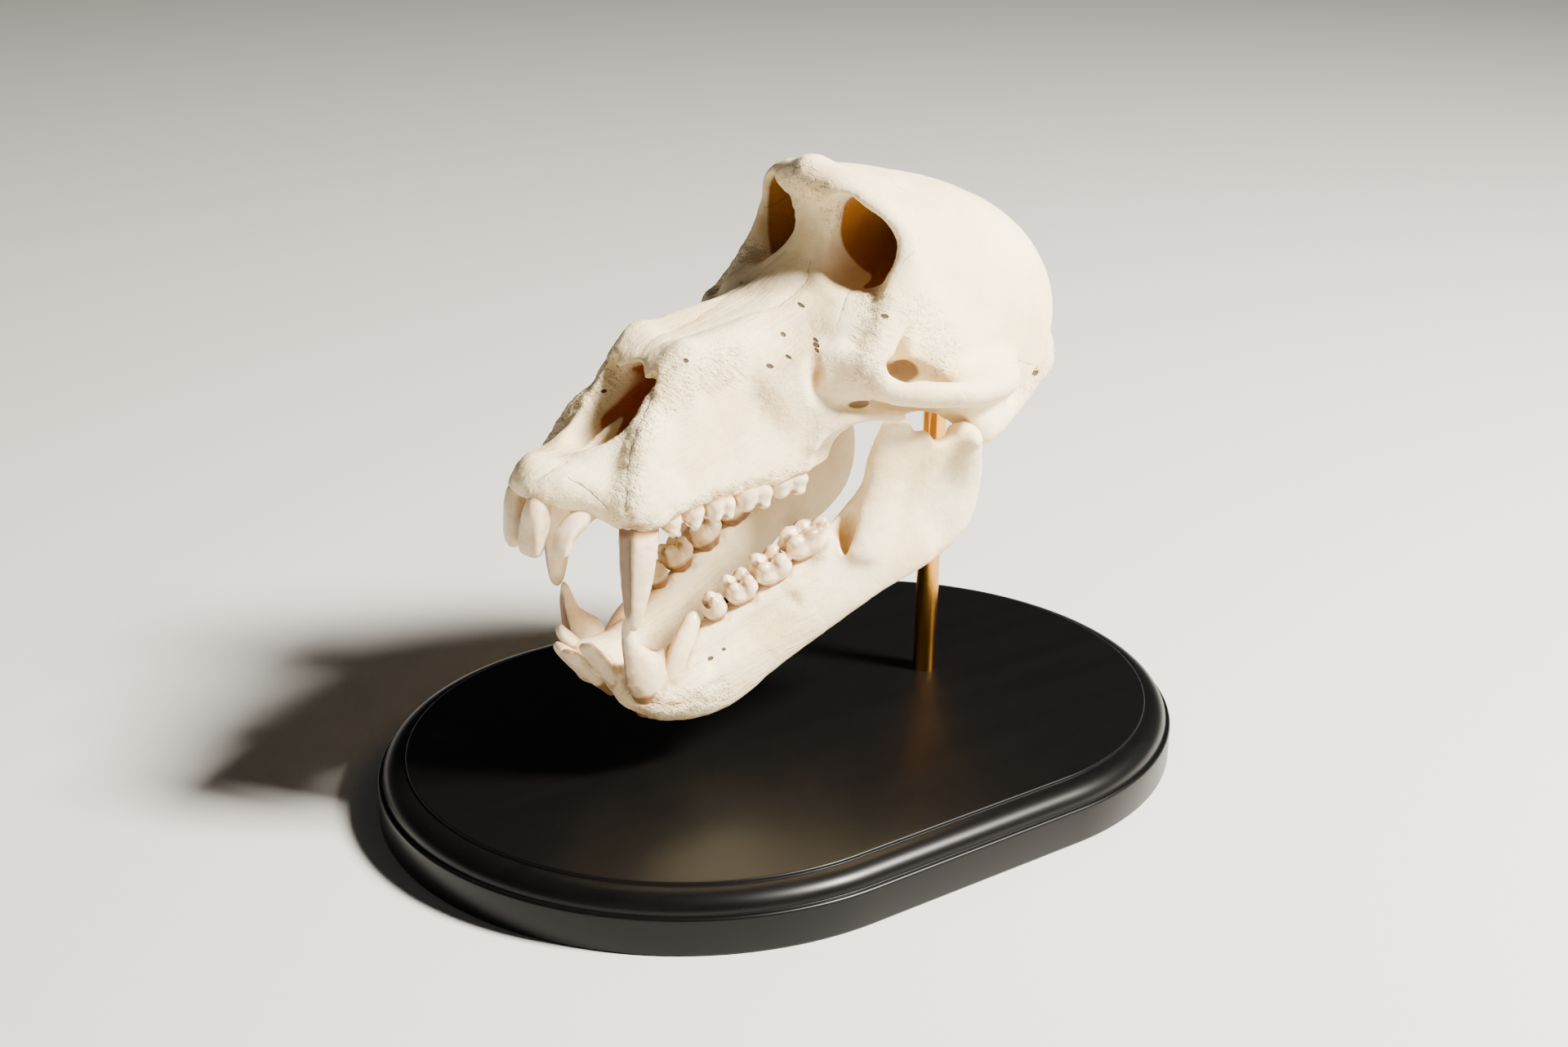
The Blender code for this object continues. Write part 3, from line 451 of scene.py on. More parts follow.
class Clay(Field):
    """A field for the left half of a bone, to which forms are added.

    An ellipsoid's distance is k (k - 1) / m, with k the length of the point divided by the radii and
    m the length of the point divided by the squared radii. Forms join and cut with a rounded edge.
    """

    def __init__(self, low, high, step):
        low = np.floor(np.array(low, float) / step) * step
        count = np.ceil((np.array(high, float) - low) / step).astype(int) + 1
        super().__init__(low, step, np.full(count, FAR, np.float32))
        self.axes = [(low[i] + step * np.arange(count[i])).astype(np.float32) for i in range(3)]

    def window(self, low, high):
        """Slices of the grid that cover a box, or None where it misses the grid."""
        first = np.maximum(np.floor((low - self.low) / self.step).astype(int), 0)
        last = np.minimum(np.ceil((high - self.low) / self.step).astype(int) + 1, self.count)
        return None if (first >= last).any() else tuple(slice(a, b) for a, b in zip(first, last))

    def join(self, whole, near, soft):
        """Rounded union with the distances near in a window: the smaller one, less the rounding."""
        here = self.field[whole]
        self.field[whole] = np.minimum(here, near) - rounding(here, near, soft)

    def cut(self, other, soft):
        """Rounded difference: the larger of this field and the other one turned inside out."""
        near = -other.field
        self.field = np.maximum(self.field, near) + rounding(self.field, near, soft)

    def ellipsoids(self, centres, axes, radii, soft):
        """Join the union of some ellipsoids, which is the smallest of their distances."""
        reach = np.abs(axes * radii[:, None, :]).max(axis=2).max(axis=1) * 1.45 + soft
        reach = np.minimum(reach, radii.max(axis=1) + soft)
        whole = self.window((centres - reach[:, None]).min(axis=0), (centres + reach[:, None]).max(axis=0))
        if whole is None:
            return
        near = np.full([s.stop - s.start for s in whole], FAR, np.float32)
        for centre, turn, radius, r in zip(centres, axes.astype(np.float32), radii.astype(np.float32), reach):
            part = self.window(centre - r, centre + r)
            if part is None:
                continue
            offsets = [self.axes[i][part[i]] - np.float32(centre[i]) for i in range(3)]
            x, y, z = np.meshgrid(*offsets, indexing="ij", sparse=True)
            k = m = 0
            for i in range(3):
                q = (turn[0, i] * x + turn[1, i] * y + turn[2, i] * z) / radius[i]
                k = k + q * q
                m = m + (q / radius[i]) ** 2
            k = np.sqrt(k)
            distance = np.where(k > 1e-3, k * (k - 1) / np.maximum(np.sqrt(m), 1e-6), -radius.min())
            inner = tuple(slice(p.start - w.start, p.stop - w.start) for p, w in zip(part, whole))
            near[inner] = np.minimum(near[inner], distance)
        self.join(whole, near, soft)

    def strap(self, stations, soft, flip):
        """Ellipsoids about every 1.2 mm of a smooth path, their radii carried along it.

        An ellipsoid is as long along the path as the smaller of its two radii across it.
        """
        path = smooth_path(stations, 1.2) * (1, flip, 1, 1, 1)
        start = path[1, :3] - path[0, :3]
        sideways = abs(start[1]) > 0.8 * np.linalg.norm(start)
        axes = carried_axes(path[:, :3], (1, 0, 0) if sideways else (0, 1, 0))
        radii = np.stack([path[:, 3:].min(axis=1), path[:, 3], path[:, 4]], axis=1)
        self.ellipsoids(path[:, :3], axes, radii, soft)

    def gather(self, balls, straps, soft):
        """Every ball and strap, and its twin on the other side of the mid-plane."""
        for centre, radii in balls:
            for flip in (1, -1) if centre[1] else (1,):
                spot = np.array([centre], float) * (1, flip, 1)
                self.ellipsoids(spot, np.eye(3)[None], np.array([radii], float), soft)
        for stations in straps:
            for flip in (1, -1) if any(station[1] for station in stations) else (1,):
                self.strap(stations, soft, flip)

    def loft(self, stations, soft):
        """A body given by half outlines at places along X, carried smoothly between them.

        In each slice the distance is that to the nearest piece of the outline, negative inside it.
        """
        places = np.array([place for place, _ in stations], float)
        outlines = np.array([outline for _, outline in stations], float)
        slopes = np.gradient(outlines, places, axis=0)
        first, last = np.searchsorted(self.axes[0], (places[0], places[-1]))
        near_y = np.flatnonzero(self.axes[1] > -outlines[..., 0].max() - soft)
        y = np.abs(self.axes[1][near_y])[:, None]
        z = self.axes[2][None, :]
        mirror = np.array((-1, 1))
        for i in range(first, last):
            x = self.axes[0][i]
            j = min(max(np.searchsorted(places, x) - 1, 0), len(places) - 2)
            gap = places[j + 1] - places[j]
            t = (x - places[j]) / gap
            outline = ((2 * t ** 3 - 3 * t ** 2 + 1) * outlines[j] + (t ** 3 - 2 * t ** 2 + t) * gap * slopes[j]
                       + (3 * t ** 2 - 2 * t ** 3) * outlines[j + 1] + (t ** 3 - t ** 2) * gap * slopes[j + 1])
            ring = np.vstack([outline[1] * mirror, outline, outline[-2] * mirror])
            t = np.linspace(0, 1, 4, endpoint=False)[:, None, None]
            curve = catmull_rom(ring[:-3], ring[1:-2], ring[2:-1], ring[3:], t)
            curve = np.vstack([curve.transpose(1, 0, 2).reshape(-1, 2), outline[-1]]).astype(np.float32)
            nearest = np.full((len(near_y), z.shape[1]), FAR ** 2, np.float32)
            inside = np.zeros(nearest.shape, bool)
            for (ya, za), (yb, zb) in zip(curve[:-1], curve[1:]):
                dy, dz = yb - ya, zb - za
                s = np.clip(((y - ya) * dy + (z - za) * dz) / max(dy * dy + dz * dz, 1e-6), 0, 1)
                nearest = np.minimum(nearest, (y - ya - s * dy) ** 2 + (z - za - s * dz) ** 2)
                if dz:
                    inside ^= ((za > z) != (zb > z)) & (y < ya + (z - za) * dy / dz)
            distance = np.sqrt(nearest) * np.where(inside, -1, 1)
            whole = (slice(i, i + 1), slice(near_y[0], near_y[-1] + 1), slice(None))
            self.join(whole, distance[None], soft)

    def mirrored(self):
        """The whole field, with the left half (y up to 0) copied to the right."""
        zero = int(round(-self.low[1] / self.step))
        left = self.field[:, :zero + 1]
        return Field(self.low, self.step, np.concatenate([left, left[:, -2::-1]], axis=1))


def add_mesh(name, points, faces, finish, slot, node, **marks):
    """A smooth-shaded piece from points in millimetres, with named values kept on its points."""
    mesh = bpy.data.meshes.new(name)
    mesh.from_pydata((points * MM).tolist(), [], faces)
    mesh.update()
    mesh.shade_smooth()
    for label, values in marks.items():
        layer = mesh.attributes.new(label, "FLOAT", "POINT")
        layer.data.foreach_set("value", values.astype(np.float32))
    mesh.materials.append(finish)
    thing = bpy.data.objects.new(name, mesh)
    bpy.context.scene.collection.objects.link(thing)
    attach(thing, "root")
    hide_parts(node)


def grid_quads(rows, columns):
    """Quads between neighbouring rings of a grid whose columns go all the way round."""
    i = np.arange(rows - 1)[:, None] * columns
    j = np.arange(columns)[None, :]
    k = (j + 1) % columns
    return np.stack([i + j, i + k, i + columns + k, i + columns + j], axis=-1).reshape(-1, 4).tolist()


def outward(points, faces):
    """The faces, turned round if their triangles and quads make a negative volume round the origin."""
    volume = 0.0
    for corners in (3, 4):
        some = np.array([face for face in faces if len(face) == corners], int).reshape(-1, corners)
        for i in range(1, corners - 1):
            p, q, r = points[some[:, 0]], points[some[:, i]], points[some[:, i + 1]]
            volume += (p * np.cross(q, r)).sum()
    return faces if volume > 0 else [face[::-1] for face in faces]


def ring_mesh(rings):
    """Points and faces of stacked rings, with both ends closed by a fan round their middle."""
    rows, columns = rings.shape[:2]
    points = np.vstack([rings.reshape(-1, 3), rings[0].mean(axis=0), rings[-1].mean(axis=0)])
    j = np.arange(columns)
    k = (j + 1) % columns
    last = (rows - 1) * columns
    start = np.stack([k, j, np.full(columns, rows * columns)], axis=1)
    end = np.stack([last + j, last + k, np.full(columns, rows * columns + 1)], axis=1)
    return points, outward(points, grid_quads(rows, columns) + start.tolist() + end.tolist())


# Cheek teeth: (name, gum centre, root to tip, half length, half width, crown, cusps). A cusp is
# (place along the row, place across it, size), both from -1 to 1 over the crown.
FOUR_CUSPS = [(-0.47, -0.46, 1.0), (-0.47, 0.46, 1.0), (0.47, -0.46, 1.0), (0.47, 0.46, 1.0)]
FIVE_CUSPS = [(-0.60, -0.46, 1.0), (-0.60, 0.46, 1.0), (0.06, -0.48, 1.0), (0.06, 0.48, 1.0), (0.68, 0.0, 0.9)]
TWO_CUSPS = [(-0.02, -0.34, 1.0), (0.02, 0.42, 0.9), (0.5, 0.0, 0.5)]
UPPER_CHEEK_TEETH = [
    ("third_premolar", (-63.2, 22.8, 110), (0, 0.08, -1), 3.6, 4.6, 7.2, TWO_CUSPS),
    ("fourth_premolar", (-55.6, 23.2, 111.4), (0, 0.08, -1), 3.8, 5.0, 8.0, TWO_CUSPS),
    ("first_molar", (-46.8, 23.8, 113.1), (0, 0.08, -1), 4.8, 5.6, 8.2, FOUR_CUSPS),
    ("second_molar", (-34.9, 24.2, 114.6), (0, 0.08, -1), 6.3, 6.2, 8.6, FOUR_CUSPS),
    ("third_molar", (-21.6, 24.2, 116.0), (0, 0.06, -1), 6.6, 6.1, 8.4, FOUR_CUSPS),
]
LOWER_CHEEK_TEETH = [
    ("fourth_premolar", (-41.4, 15.9, 71.2), (-0.38, 0.18, 1), 4.4, 4.3, 7.4, TWO_CUSPS),
    ("first_molar", (-32.4, 16.9, 75.2), (-0.38, 0.18, 1), 5.5, 5.0, 7.8, FOUR_CUSPS),
    ("second_molar", (-21.4, 18.1, 79.9), (-0.38, 0.18, 1), 6.5, 5.7, 8.2, FOUR_CUSPS),
    ("third_molar", (-8.0, 19.5, 86.6), (-0.38, 0.14, 1), 8.2, 5.9, 8.8, FIVE_CUSPS),
]

# Front teeth: paths of stations (x, y, z, half length along the jaw, half thickness across it), then
# (jaw, name, path, the station at the gum, shape) for each.
UPPER_CANINE = [(-72, 20, 117, 5.4, 4), (-72.8, 21, 110, 6.2, 4.6), (-73.4, 21.8, 104, 6.6, 4.9),
                (-74.2, 22.3, 94, 5.8, 4.2), (-74.8, 22.2, 86, 4.5, 3.4), (-75.2, 21.8, 79, 3, 2.4),
                (-75.4, 21.5, 75, 1.7, 1.4)]
LOWER_CANINE = [(-65.4, 14, 43, 3.8, 3.4), (-66.4, 15, 48, 4.8, 3.8), (-67.4, 16, 53, 5.9, 4),
                (-68.4, 16.6, 57.5, 7.1, 3.9), (-70.8, 17, 61.6, 5.5, 3.5), (-73, 17.2, 66, 3.6, 3),
                (-74.3, 17.4, 70.5, 2.6, 2.4), (-75, 17.4, 74.5, 1.7, 1.7), (-75.5, 17.4, 77.3, 0.8, 0.9)]
LOWER_THIRD_PREMOLAR = [(-59.4, 17.4, 48.5, 1.6, 1.7), (-58.8, 17.4, 51, 2.5, 2.2), (-57.8, 17.1, 55, 3.4, 2.6),
                        (-55, 16, 60.4, 3.5, 2.8), (-51.2, 14.7, 65.4, 3.3, 2.6), (-48.4, 13.9, 69.2, 2.7, 2.3),
                        (-47.3, 13.6, 71.2, 1.6, 1.5)]
UPPER_CENTRAL_INCISOR = [(-94.4, 4.8, 121.4, 2.4, 3), (-96.4, 5, 117.4, 3.1, 4.4), (-98.2, 5.2, 112.5, 4, 4.9),
                         (-99.6, 5.3, 107.5, 4.4, 4.4), (-100.5, 5.3, 103.2, 4.4, 3.5),
                         (-100.9, 5.3, 99.8, 3.6, 2.3)]
UPPER_LATERAL_INCISOR = [(-80.5, 12.4, 114.6, 2.6, 2.8), (-85, 12.8, 112.8, 3, 3.1),
                         (-89.8, 13, 110.2, 3.3, 3.3), (-93.3, 13, 107, 3.4, 3.3), (-95, 13, 103.6, 3.2, 3),
                         (-95.5, 13, 100.8, 2.5, 2.1)]
LOWER_CENTRAL_INCISOR = [(-70, 2.2, 47, 2.2, 2.6), (-74.5, 2.4, 51.5, 2.5, 3), (-79, 2.5, 56, 2.8, 3.1),
                         (-83, 2.5, 60, 2.8, 2.7), (-86.2, 2.5, 63, 2.7, 2), (-87.6, 2.5, 64.4, 2.3, 1.3)]
LOWER_LATERAL_INCISOR = [(-68, 7.2, 47, 2.2, 2.6), (-72, 7.6, 52.4, 2.6, 3), (-76.4, 7.6, 58, 2.8, 3),
                         (-80, 7.4, 62.6, 2.9, 2.6), (-82.8, 7.2, 66, 2.8, 1.9), (-83.8, 7.1, 67.4, 2.3, 1.3)]
FRONT_TEETH = [
    ("upper", "canine", UPPER_CANINE, 1.6, "canine"),
    ("lower", "canine", LOWER_CANINE, 2.0, "canine"),
    ("upper", "central_incisor", UPPER_CENTRAL_INCISOR, 1.2, "central"),
    ("upper", "lateral_incisor", UPPER_LATERAL_INCISOR, 1.2, "lateral"),
    ("lower", "central_incisor", LOWER_CENTRAL_INCISOR, 1.5, "central"),
    ("lower", "lateral_incisor", LOWER_LATERAL_INCISOR, 1.5, "lateral"),
    ("lower", "third_premolar", LOWER_THIRD_PREMOLAR, 0.8, "blade"),
]
# The way along the jaw at a tooth of each shape.
JAW_WAYS = {"canine": (1.0, 0.0, 0.0), "blade": (1.0, 0.0, 0.0), "central": (0.30, 1.0, 0.0),
            "lateral": (0.62, 1.0, 0.0)}
# Where round a canine its long groove lies, from the rear of the tooth.
GROOVE_TURN = math.radians(205)


def crown_outline(turn, cusps):
    """Reach of a crown in each direction for half sizes of 1: a rounded square bulging at each cusp.

    A cusp at c is a circle of radius r = 0.52 times its size; along direction u its reach is
    c.u + sqrt(r^2 - |c x u|^2). The largest of these and of the square is taken with a soft edge.
    """
    u = np.stack([np.cos(turn), np.sin(turn)], axis=1)
    reaches = [0.86 / (np.abs(u[:, 0]) ** 3 + np.abs(u[:, 1]) ** 3) ** (1 / 3)]
    for cx, cy, size in cusps:
        along = u @ (cx, cy)
        off = np.abs(u[:, 0] * cy - u[:, 1] * cx)
        reaches.append(np.where(along > 0, along + np.sqrt(np.maximum((0.52 * size) ** 2 - off ** 2, 0)), 0))
    return soft_maximum(np.stack(reaches), 14)


def crown_relief(x, y, cusps):
    """Height of the chewing surface, 0 in the basins and about 1 at a cusp.

    Each cusp is a dome, its size times 1 - (d / 0.6)^2 at distance d. A lower crest joins cusps that
    stand side by side. The highest is taken with a soft edge.
    """
    parts = [np.zeros_like(x)]
    for cx, cy, size in cusps:
        parts.append(size * (1 - ((x - cx) ** 2 + (y - cy) ** 2) / 0.36))
    for cx in sorted({cusp[0] for cusp in cusps if cusp[1]}):
        parts.append(0.62 - ((x - cx) / 0.26) ** 2 - (np.abs(y) / 0.9) ** 4)
    return soft_maximum(np.stack(parts), 9) - 0.1


def uneven(points, size, depth, seed):
    """The points, each moved along X, Y and Z by noise of that size and depth."""
    flat = points.reshape(-1, 3)
    shift = np.stack([value_noise(flat, size, seed + i) for i in range(3)], axis=1)
    return (flat + depth * shift).reshape(points.shape)


def cheek_tooth(gum, axis, length, width, crown, cusps, flip, seed):
    """Rings round a crown from the root up its side, over the cusps and in to the middle.

    A ring's points lie at the outline's reach times a scale; the side scale swells just above the gum
    and closes in upwards, and on the chewing surface it falls to 0. The relief lifts the cusps.
    """
    root, rim = -3.5, 0.84  # height of the stub's end, and the side scale at the top of the side
    basin, lift = 0.56 * crown, 0.42 * crown  # height of the basins, and of the cusps over them
    turn = np.arange(CHEEK_TOOTH_COLUMNS) * 2 * math.pi / CHEEK_TOOTH_COLUMNS
    reach = crown_outline(turn, cusps)
    rim_x, rim_y = np.cos(turn) * reach * rim, np.sin(turn) * reach * rim
    rings = []
    # The stub under the gum, the side of the crown, then the chewing surface.
    for h in np.linspace(root, 0, 6)[:-1]:
        swell = 0.56 + 0.34 * smoothstep(root, 0, h)
        rings.append((swell * (0.55 * reach + 0.45), np.full(len(turn), h)))
    rim_relief = crown_relief(rim_x, rim_y, cusps)
    for t in np.linspace(0, 1, 16)[:-1]:
        swell = 0.90 + 0.10 * math.sin(math.pi * min(t * 1.5, 1)) - (0.90 - rim) * smoothstep(0.35, 1, t)
        outline = reach * smoothstep(-0.2, 0.5, t) + 0.96 * (1 - smoothstep(-0.2, 0.5, t))
        rings.append((swell * outline, t * (basin + lift * rim_relief)))
    side_rings = len(rings)
    for s in np.linspace(1, 0.02, 26):
        rings.append((reach * rim * s, basin + lift * crown_relief(rim_x * s, rim_y * s, cusps)))
    # How far out and how high each point lies, evened out from ring to ring.
    out, up = (np.array(values) for values in zip(*rings))
    for _ in range(2):
        for values in (out, up):
            values[1:-1] = 0.25 * values[:-2] + 0.5 * values[1:-1] + 0.25 * values[2:]
    axis = unit(np.array(axis, float))
    along = np.array((1.0, 0.12, 0.0))
    along = unit(along - axis * (along @ axis))
    across = np.cross(axis, along)
    x, y = np.cos(turn) * out * length, np.sin(turn) * out * width
    points = np.array(gum) + up[..., None] * axis + x[..., None] * along + y[..., None] * across
    # Dark in the low places between the cusps and in the grooves down the side.
    fissure = smoothstep(0.36, 0.10, (up - basin) / lift) * (np.arange(len(rings)) > side_rings)[:, None]
    side_groove = smoothstep(0.93, 0.80, out / np.maximum(out.max(axis=1, keepdims=True), 1e-6))
    fissure = np.maximum(fissure, 0.7 * side_groove * smoothstep(0.2, 0.8, up / crown) * (out > 0.5))
    skin, faces = ring_mesh(uneven(points * (1, flip, 1), 1.6, 0.10, seed))
    return skin, faces, {"above_gum": np.append(up.ravel(), (up[0].mean(), up[-1].mean())),
                         "crevice_stain_and_shade": np.append(fissure.ravel(), (0, fissure[-1].mean()))}


def front_tooth(stations, gum_row, shape, flip, seed):
    """An oval section carried along a smooth path, drawn in at the tip.

    A point of the section is (a cos, b sin) of its turn, and the tip closes as a quarter circle over the
    last 7% of the path. A canine is pinched towards the back and has a groove down the front; an incisor
    is flat on the tongue side.
    """
    path = smooth_path(stations, 0.55)
    path = np.vstack([path, path[-1] + np.array([*(path[-1, :3] - path[-2, :3]) * 0.6, 0, 0])])
    tangents = unit(np.gradient(path[:, :3], axis=0))
    along = np.array(JAW_WAYS[shape])
    along = unit(along - tangents * (tangents @ along)[:, None])
    across = np.cross(tangents, along)
    turn = np.arange(FRONT_TOOTH_COLUMNS)[None] * 2 * math.pi / FRONT_TOOTH_COLUMNS
    c, s = np.cos(turn), np.sin(turn)
    end = np.linspace(0, 1, len(path))[:, None]
    close = np.sqrt(np.clip(1 - ((end - 0.93) / 0.07).clip(0, 1) ** 2, 0.0025, 1))
    a, b = path[:, 3:4] * close, path[:, 4:5] * close
    x, y = a * c, b * s
    groove = np.zeros_like(x)
    if shape == "canine":
        crown = smoothstep(0.10, 0.35, end)
        y = y * (1 - 0.45 * crown * smoothstep(0.1, 1.0, c))
        groove = np.exp(-((turn - GROOVE_TURN) / 0.26) ** 2) * crown * smoothstep(1.0, 0.75, end)
        x, y = x * (1 - 0.26 * groove), y * (1 - 0.26 * groove)
        # A wider band of painted shade along the groove's side, on the face turned from the light.
        stain = np.exp(-((turn - GROOVE_TURN + 0.25) / 0.55) ** 2) * smoothstep(1, 0.8, end)
        groove = np.maximum(groove, stain)
    elif shape != "blade":
        y = y + 0.3 * b * smoothstep(0.25, 0.8, end) * smoothstep(-0.2, -1.0, s) * (1 - c ** 2)
        # Painted shade down the incisor's sides, where it meets its neighbours.
        groove = smoothstep(0.80, 1.0, np.abs(c)) * 0.4 * smoothstep(0.97, 0.7, end)
    points = path[:, None, :3] + x[..., None] * along[:, None] + y[..., None] * across[:, None]
    skin, faces = ring_mesh(uneven(points * (1, flip, 1), 2.2, 0.08, seed))
    # Height above the gum, measured along the path.
    run = np.concatenate([[0], np.cumsum(np.linalg.norm(np.diff(path[:, :3], axis=0), axis=1))])
    gum = np.interp(gum_row, np.arange(len(stations)), np.linspace(0, run[-1], len(stations)))
    height = np.repeat(run - gum, FRONT_TOOTH_COLUMNS)
    return skin, faces, {"above_gum": np.append(height, (height[0], height[-1])),
                         "crevice_stain_and_shade": np.append(groove.ravel(), (0, 0))}


def stadium_ring(inset, height):
    """A ring of the plaque: half circles round a centre at each end, joined by the straight sides."""
    turn = np.concatenate([np.linspace(-90, 90, ARC_POINTS), np.linspace(90, 270, ARC_POINTS)]) * math.pi / 180
    centre = np.repeat([1.0, -1.0], ARC_POINTS) * (PLAQUE_LENGTH - PLAQUE_WIDTH) / 2
    radius = PLAQUE_WIDTH / 2 - inset
    return np.stack([centre + radius * np.cos(turn), radius * np.sin(turn), np.full(len(turn), height)], axis=1)


def softened_edge(wall, top, radius, steps, way=1):
    """(across, up) of a quarter circle from a wall to the flat above it, which lies that way."""
    turn = np.linspace(0, math.pi / 2, steps)
    return list(zip(wall + way * radius * (1 - np.cos(turn)), top - radius * (1 - np.sin(turn))))


def plaque_profile():
    """(inset, height) up the edge: foot, side, rounded ledge, quarter-round moulding, step and top."""
    step = 1.0
    rise = PLAQUE_HEIGHT - LEDGE_HEIGHT - step
    run = TOP_INSET - LEDGE_WIDTH - step
    turn = np.linspace(0.05, math.pi / 2, 14)
    moulding = zip(LEDGE_WIDTH + run * (1 - np.cos(turn)), LEDGE_HEIGHT + rise * np.sin(turn))
    return [(3.0, 0.0), (0.8, 0.0), (0.4, 0.15), (0.15, 0.4), (0.0, 0.8), (0.0, LEDGE_HEIGHT - 2.0),
            *softened_edge(0.0, LEDGE_HEIGHT, 1.0, 9),
            (LEDGE_WIDTH - 0.1, LEDGE_HEIGHT), (LEDGE_WIDTH, LEDGE_HEIGHT + 0.1), *moulding,
            (TOP_INSET - 0.1, PLAQUE_HEIGHT - step), (TOP_INSET, PLAQUE_HEIGHT - step + 0.1),
            *softened_edge(TOP_INSET, PLAQUE_HEIGHT, 0.5, 6), (TOP_INSET + 1.5, PLAQUE_HEIGHT)]


def plaque_mesh():
    """The edge profile carried round the stadium, closed flat above and below."""
    rings = np.array([stadium_ring(inset, height) for inset, height in plaque_profile()])
    rows, columns = rings.shape[:2]
    points = rings.reshape(-1, 3)
    bottom = list(range(columns))[::-1]
    top = list(range((rows - 1) * columns, rows * columns))
    return points, outward(points, grid_quads(rows, columns) + [bottom, top])


def rod_mesh():
    """A turned rod: radius against height, with a softened top edge."""
    radius = ROD_DIAMETER / 2
    heights = [ROD_FOOT, PLAQUE_HEIGHT - 0.2, *np.linspace(PLAQUE_HEIGHT + 1, ROD_TOP - 1.0, 40)]
    profile = [(radius, z) for z in heights] + softened_edge(radius, ROD_TOP, 0.6, 6, -1)
    r, z = np.array(profile).T[:, :, None]
    spin = np.arange(ROD_COLUMNS) * 2 * math.pi / ROD_COLUMNS
    return ring_mesh(np.stack([ROD_X + r * np.cos(spin), r * np.sin(spin), z + 0 * spin], axis=2))


class Value:
    """A node socket that carries a number, with Python's operators as Math nodes."""

    def __init__(self, finish, socket):
        self.finish, self.socket = finish, socket

    def __add__(self, other):
        return self.finish.maths("ADD", self, other)

    def __sub__(self, other):
        return self.finish.maths("SUBTRACT", self, other)

    def __rsub__(self, other):
        return self.finish.maths("SUBTRACT", other, self)

    def __mul__(self, other):
        return self.finish.maths("MULTIPLY", self, other)

    __radd__, __rmul__ = __add__, __mul__


class Finish:
    """A procedural material: one Principled shader and the nodes that feed it."""

    def __init__(self, name, **fixed):
        self.material = bpy.data.materials.new(name)
        self.material.use_nodes = True
        self.tree = self.material.node_tree
        self.shader = self.tree.nodes["Principled BSDF"]
        self.shader.name = name + "_shader"
        self.done(**fixed)
        self.place = self.node("ShaderNodeTexCoord", {}, {}, "Object")

    def feed(self, node, inputs):
        """Set or link sockets by name or number."""
        for key, value in inputs.items():
            if isinstance(value, Value):
                self.tree.links.new(value.socket, node.inputs[key])
            else:
                node.inputs[key].default_value = value

    def node(self, kind, settings, inputs, output=0):
        """Add a node: its type, its settings, then its inputs; gives one output."""
        node = self.tree.nodes.new(kind)
        for key, value in settings.items():
            setattr(node, key, value)
        self.feed(node, inputs)
        return Value(self, node.outputs[output])

    def maths(self, operation, *values):
        """A Math node on numbers."""
        return self.node("ShaderNodeMath", {"operation": operation}, dict(enumerate(values)))

    def vector(self, operation, *values, output=0):
        """A Vector Math node; output 1 is the one that gives a number."""
        return self.node("ShaderNodeVectorMath", {"operation": operation}, dict(enumerate(values)), output)

    def step(self, low, high, value):
        """0 at low, 1 at high, smooth between; low may be above high."""
        return self.node("ShaderNodeMapRange", {"interpolation_type": "SMOOTHSTEP"},
                         {"Value": value, "From Min": low, "From Max": high})

    def mark(self, name):
        """A value kept on the mesh's points."""
        return self.node("ShaderNodeAttribute", {"attribute_name": name}, {}, "Fac")

    def along_x(self):
        """The place's X, in metres."""
        return self.node("ShaderNodeSeparateXYZ", {}, {0: self.place})

    def noise(self, scale, detail=3.0, rough=0.55, warp=0.0, place=None):
        """Noise from 0 to 1, its scale in features per metre, or per unit of the place given."""
        return self.node("ShaderNodeTexNoise", {}, {"Vector": place or self.place, "Scale": scale,
                                                    "Detail": detail, "Roughness": rough, "Distortion": warp})

    def stretched(self, factors, detail, rough, warp, turn=(0, 0, 0)):
        """Noise with that many features per metre along X, Y and Z, of the place turned first."""
        place = self.node("ShaderNodeMapping", {}, {"Vector": self.place, "Rotation": turn})
        place = self.node("ShaderNodeMapping", {}, {"Vector": place, "Scale": factors})
        return self.noise(1.0, detail, rough, warp, place)

    def pits(self, scale):
        """Distance to the nearest of scattered points, 0 at a point."""
        return self.node("ShaderNodeTexVoronoi", {}, {"Vector": self.place, "Scale": scale})

    def spots(self, places, inner, outer):
        """1 in any of several ovals given in mm for the side with y > 0, on both sides; 0 outside."""
        shift = (0.2, 0, 0)  # keeps X above 0, so that only Y is folded by ABSOLUTE
        half = self.vector("ABSOLUTE", self.vector("ADD", self.place, shift))
        total = 0.0
        for centre, sizes in places:
            way = self.vector("SUBTRACT", half, tuple(c * MM + s for c, s in zip(centre, shift)))
            way = self.vector("DIVIDE", way, tuple(size * MM for size in sizes))
            total = self.maths("MAXIMUM", self.step(outer, inner, self.vector("LENGTH", way, output=1)), total)
        return total

    def blend(self, amount, below, above):
        """Mix two colours: below where amount is 0, above where it is 1."""
        return self.node("ShaderNodeMix", {"data_type": "RGBA", "blend_type": "MIX"},
                         {"Factor": amount, 6: below, 7: above}, 2)

    def bump(self, height, depth, strength):
        """A normal from a height of 0 to 1 that is that many millimetres deep."""
        return self.node("ShaderNodeBump", {}, {"Height": height, "Distance": depth * MM, "Strength": strength})

    def done(self, **inputs):
        """Set or feed the shader's sockets and hand over the material."""
        self.feed(self.shader, {key.replace("_", " "): value for key, value in inputs.items()})
        return self.material


def colour(red, green, blue):
    """A colour given as it looks on screen, 0 to 255, made linear by the sRGB curve."""
    return tuple((c / 255 / 12.92 if c < 11 else ((c / 255 + 0.055) / 1.055) ** 2.4)
                 for c in (red, green, blue)) + (1.0,)


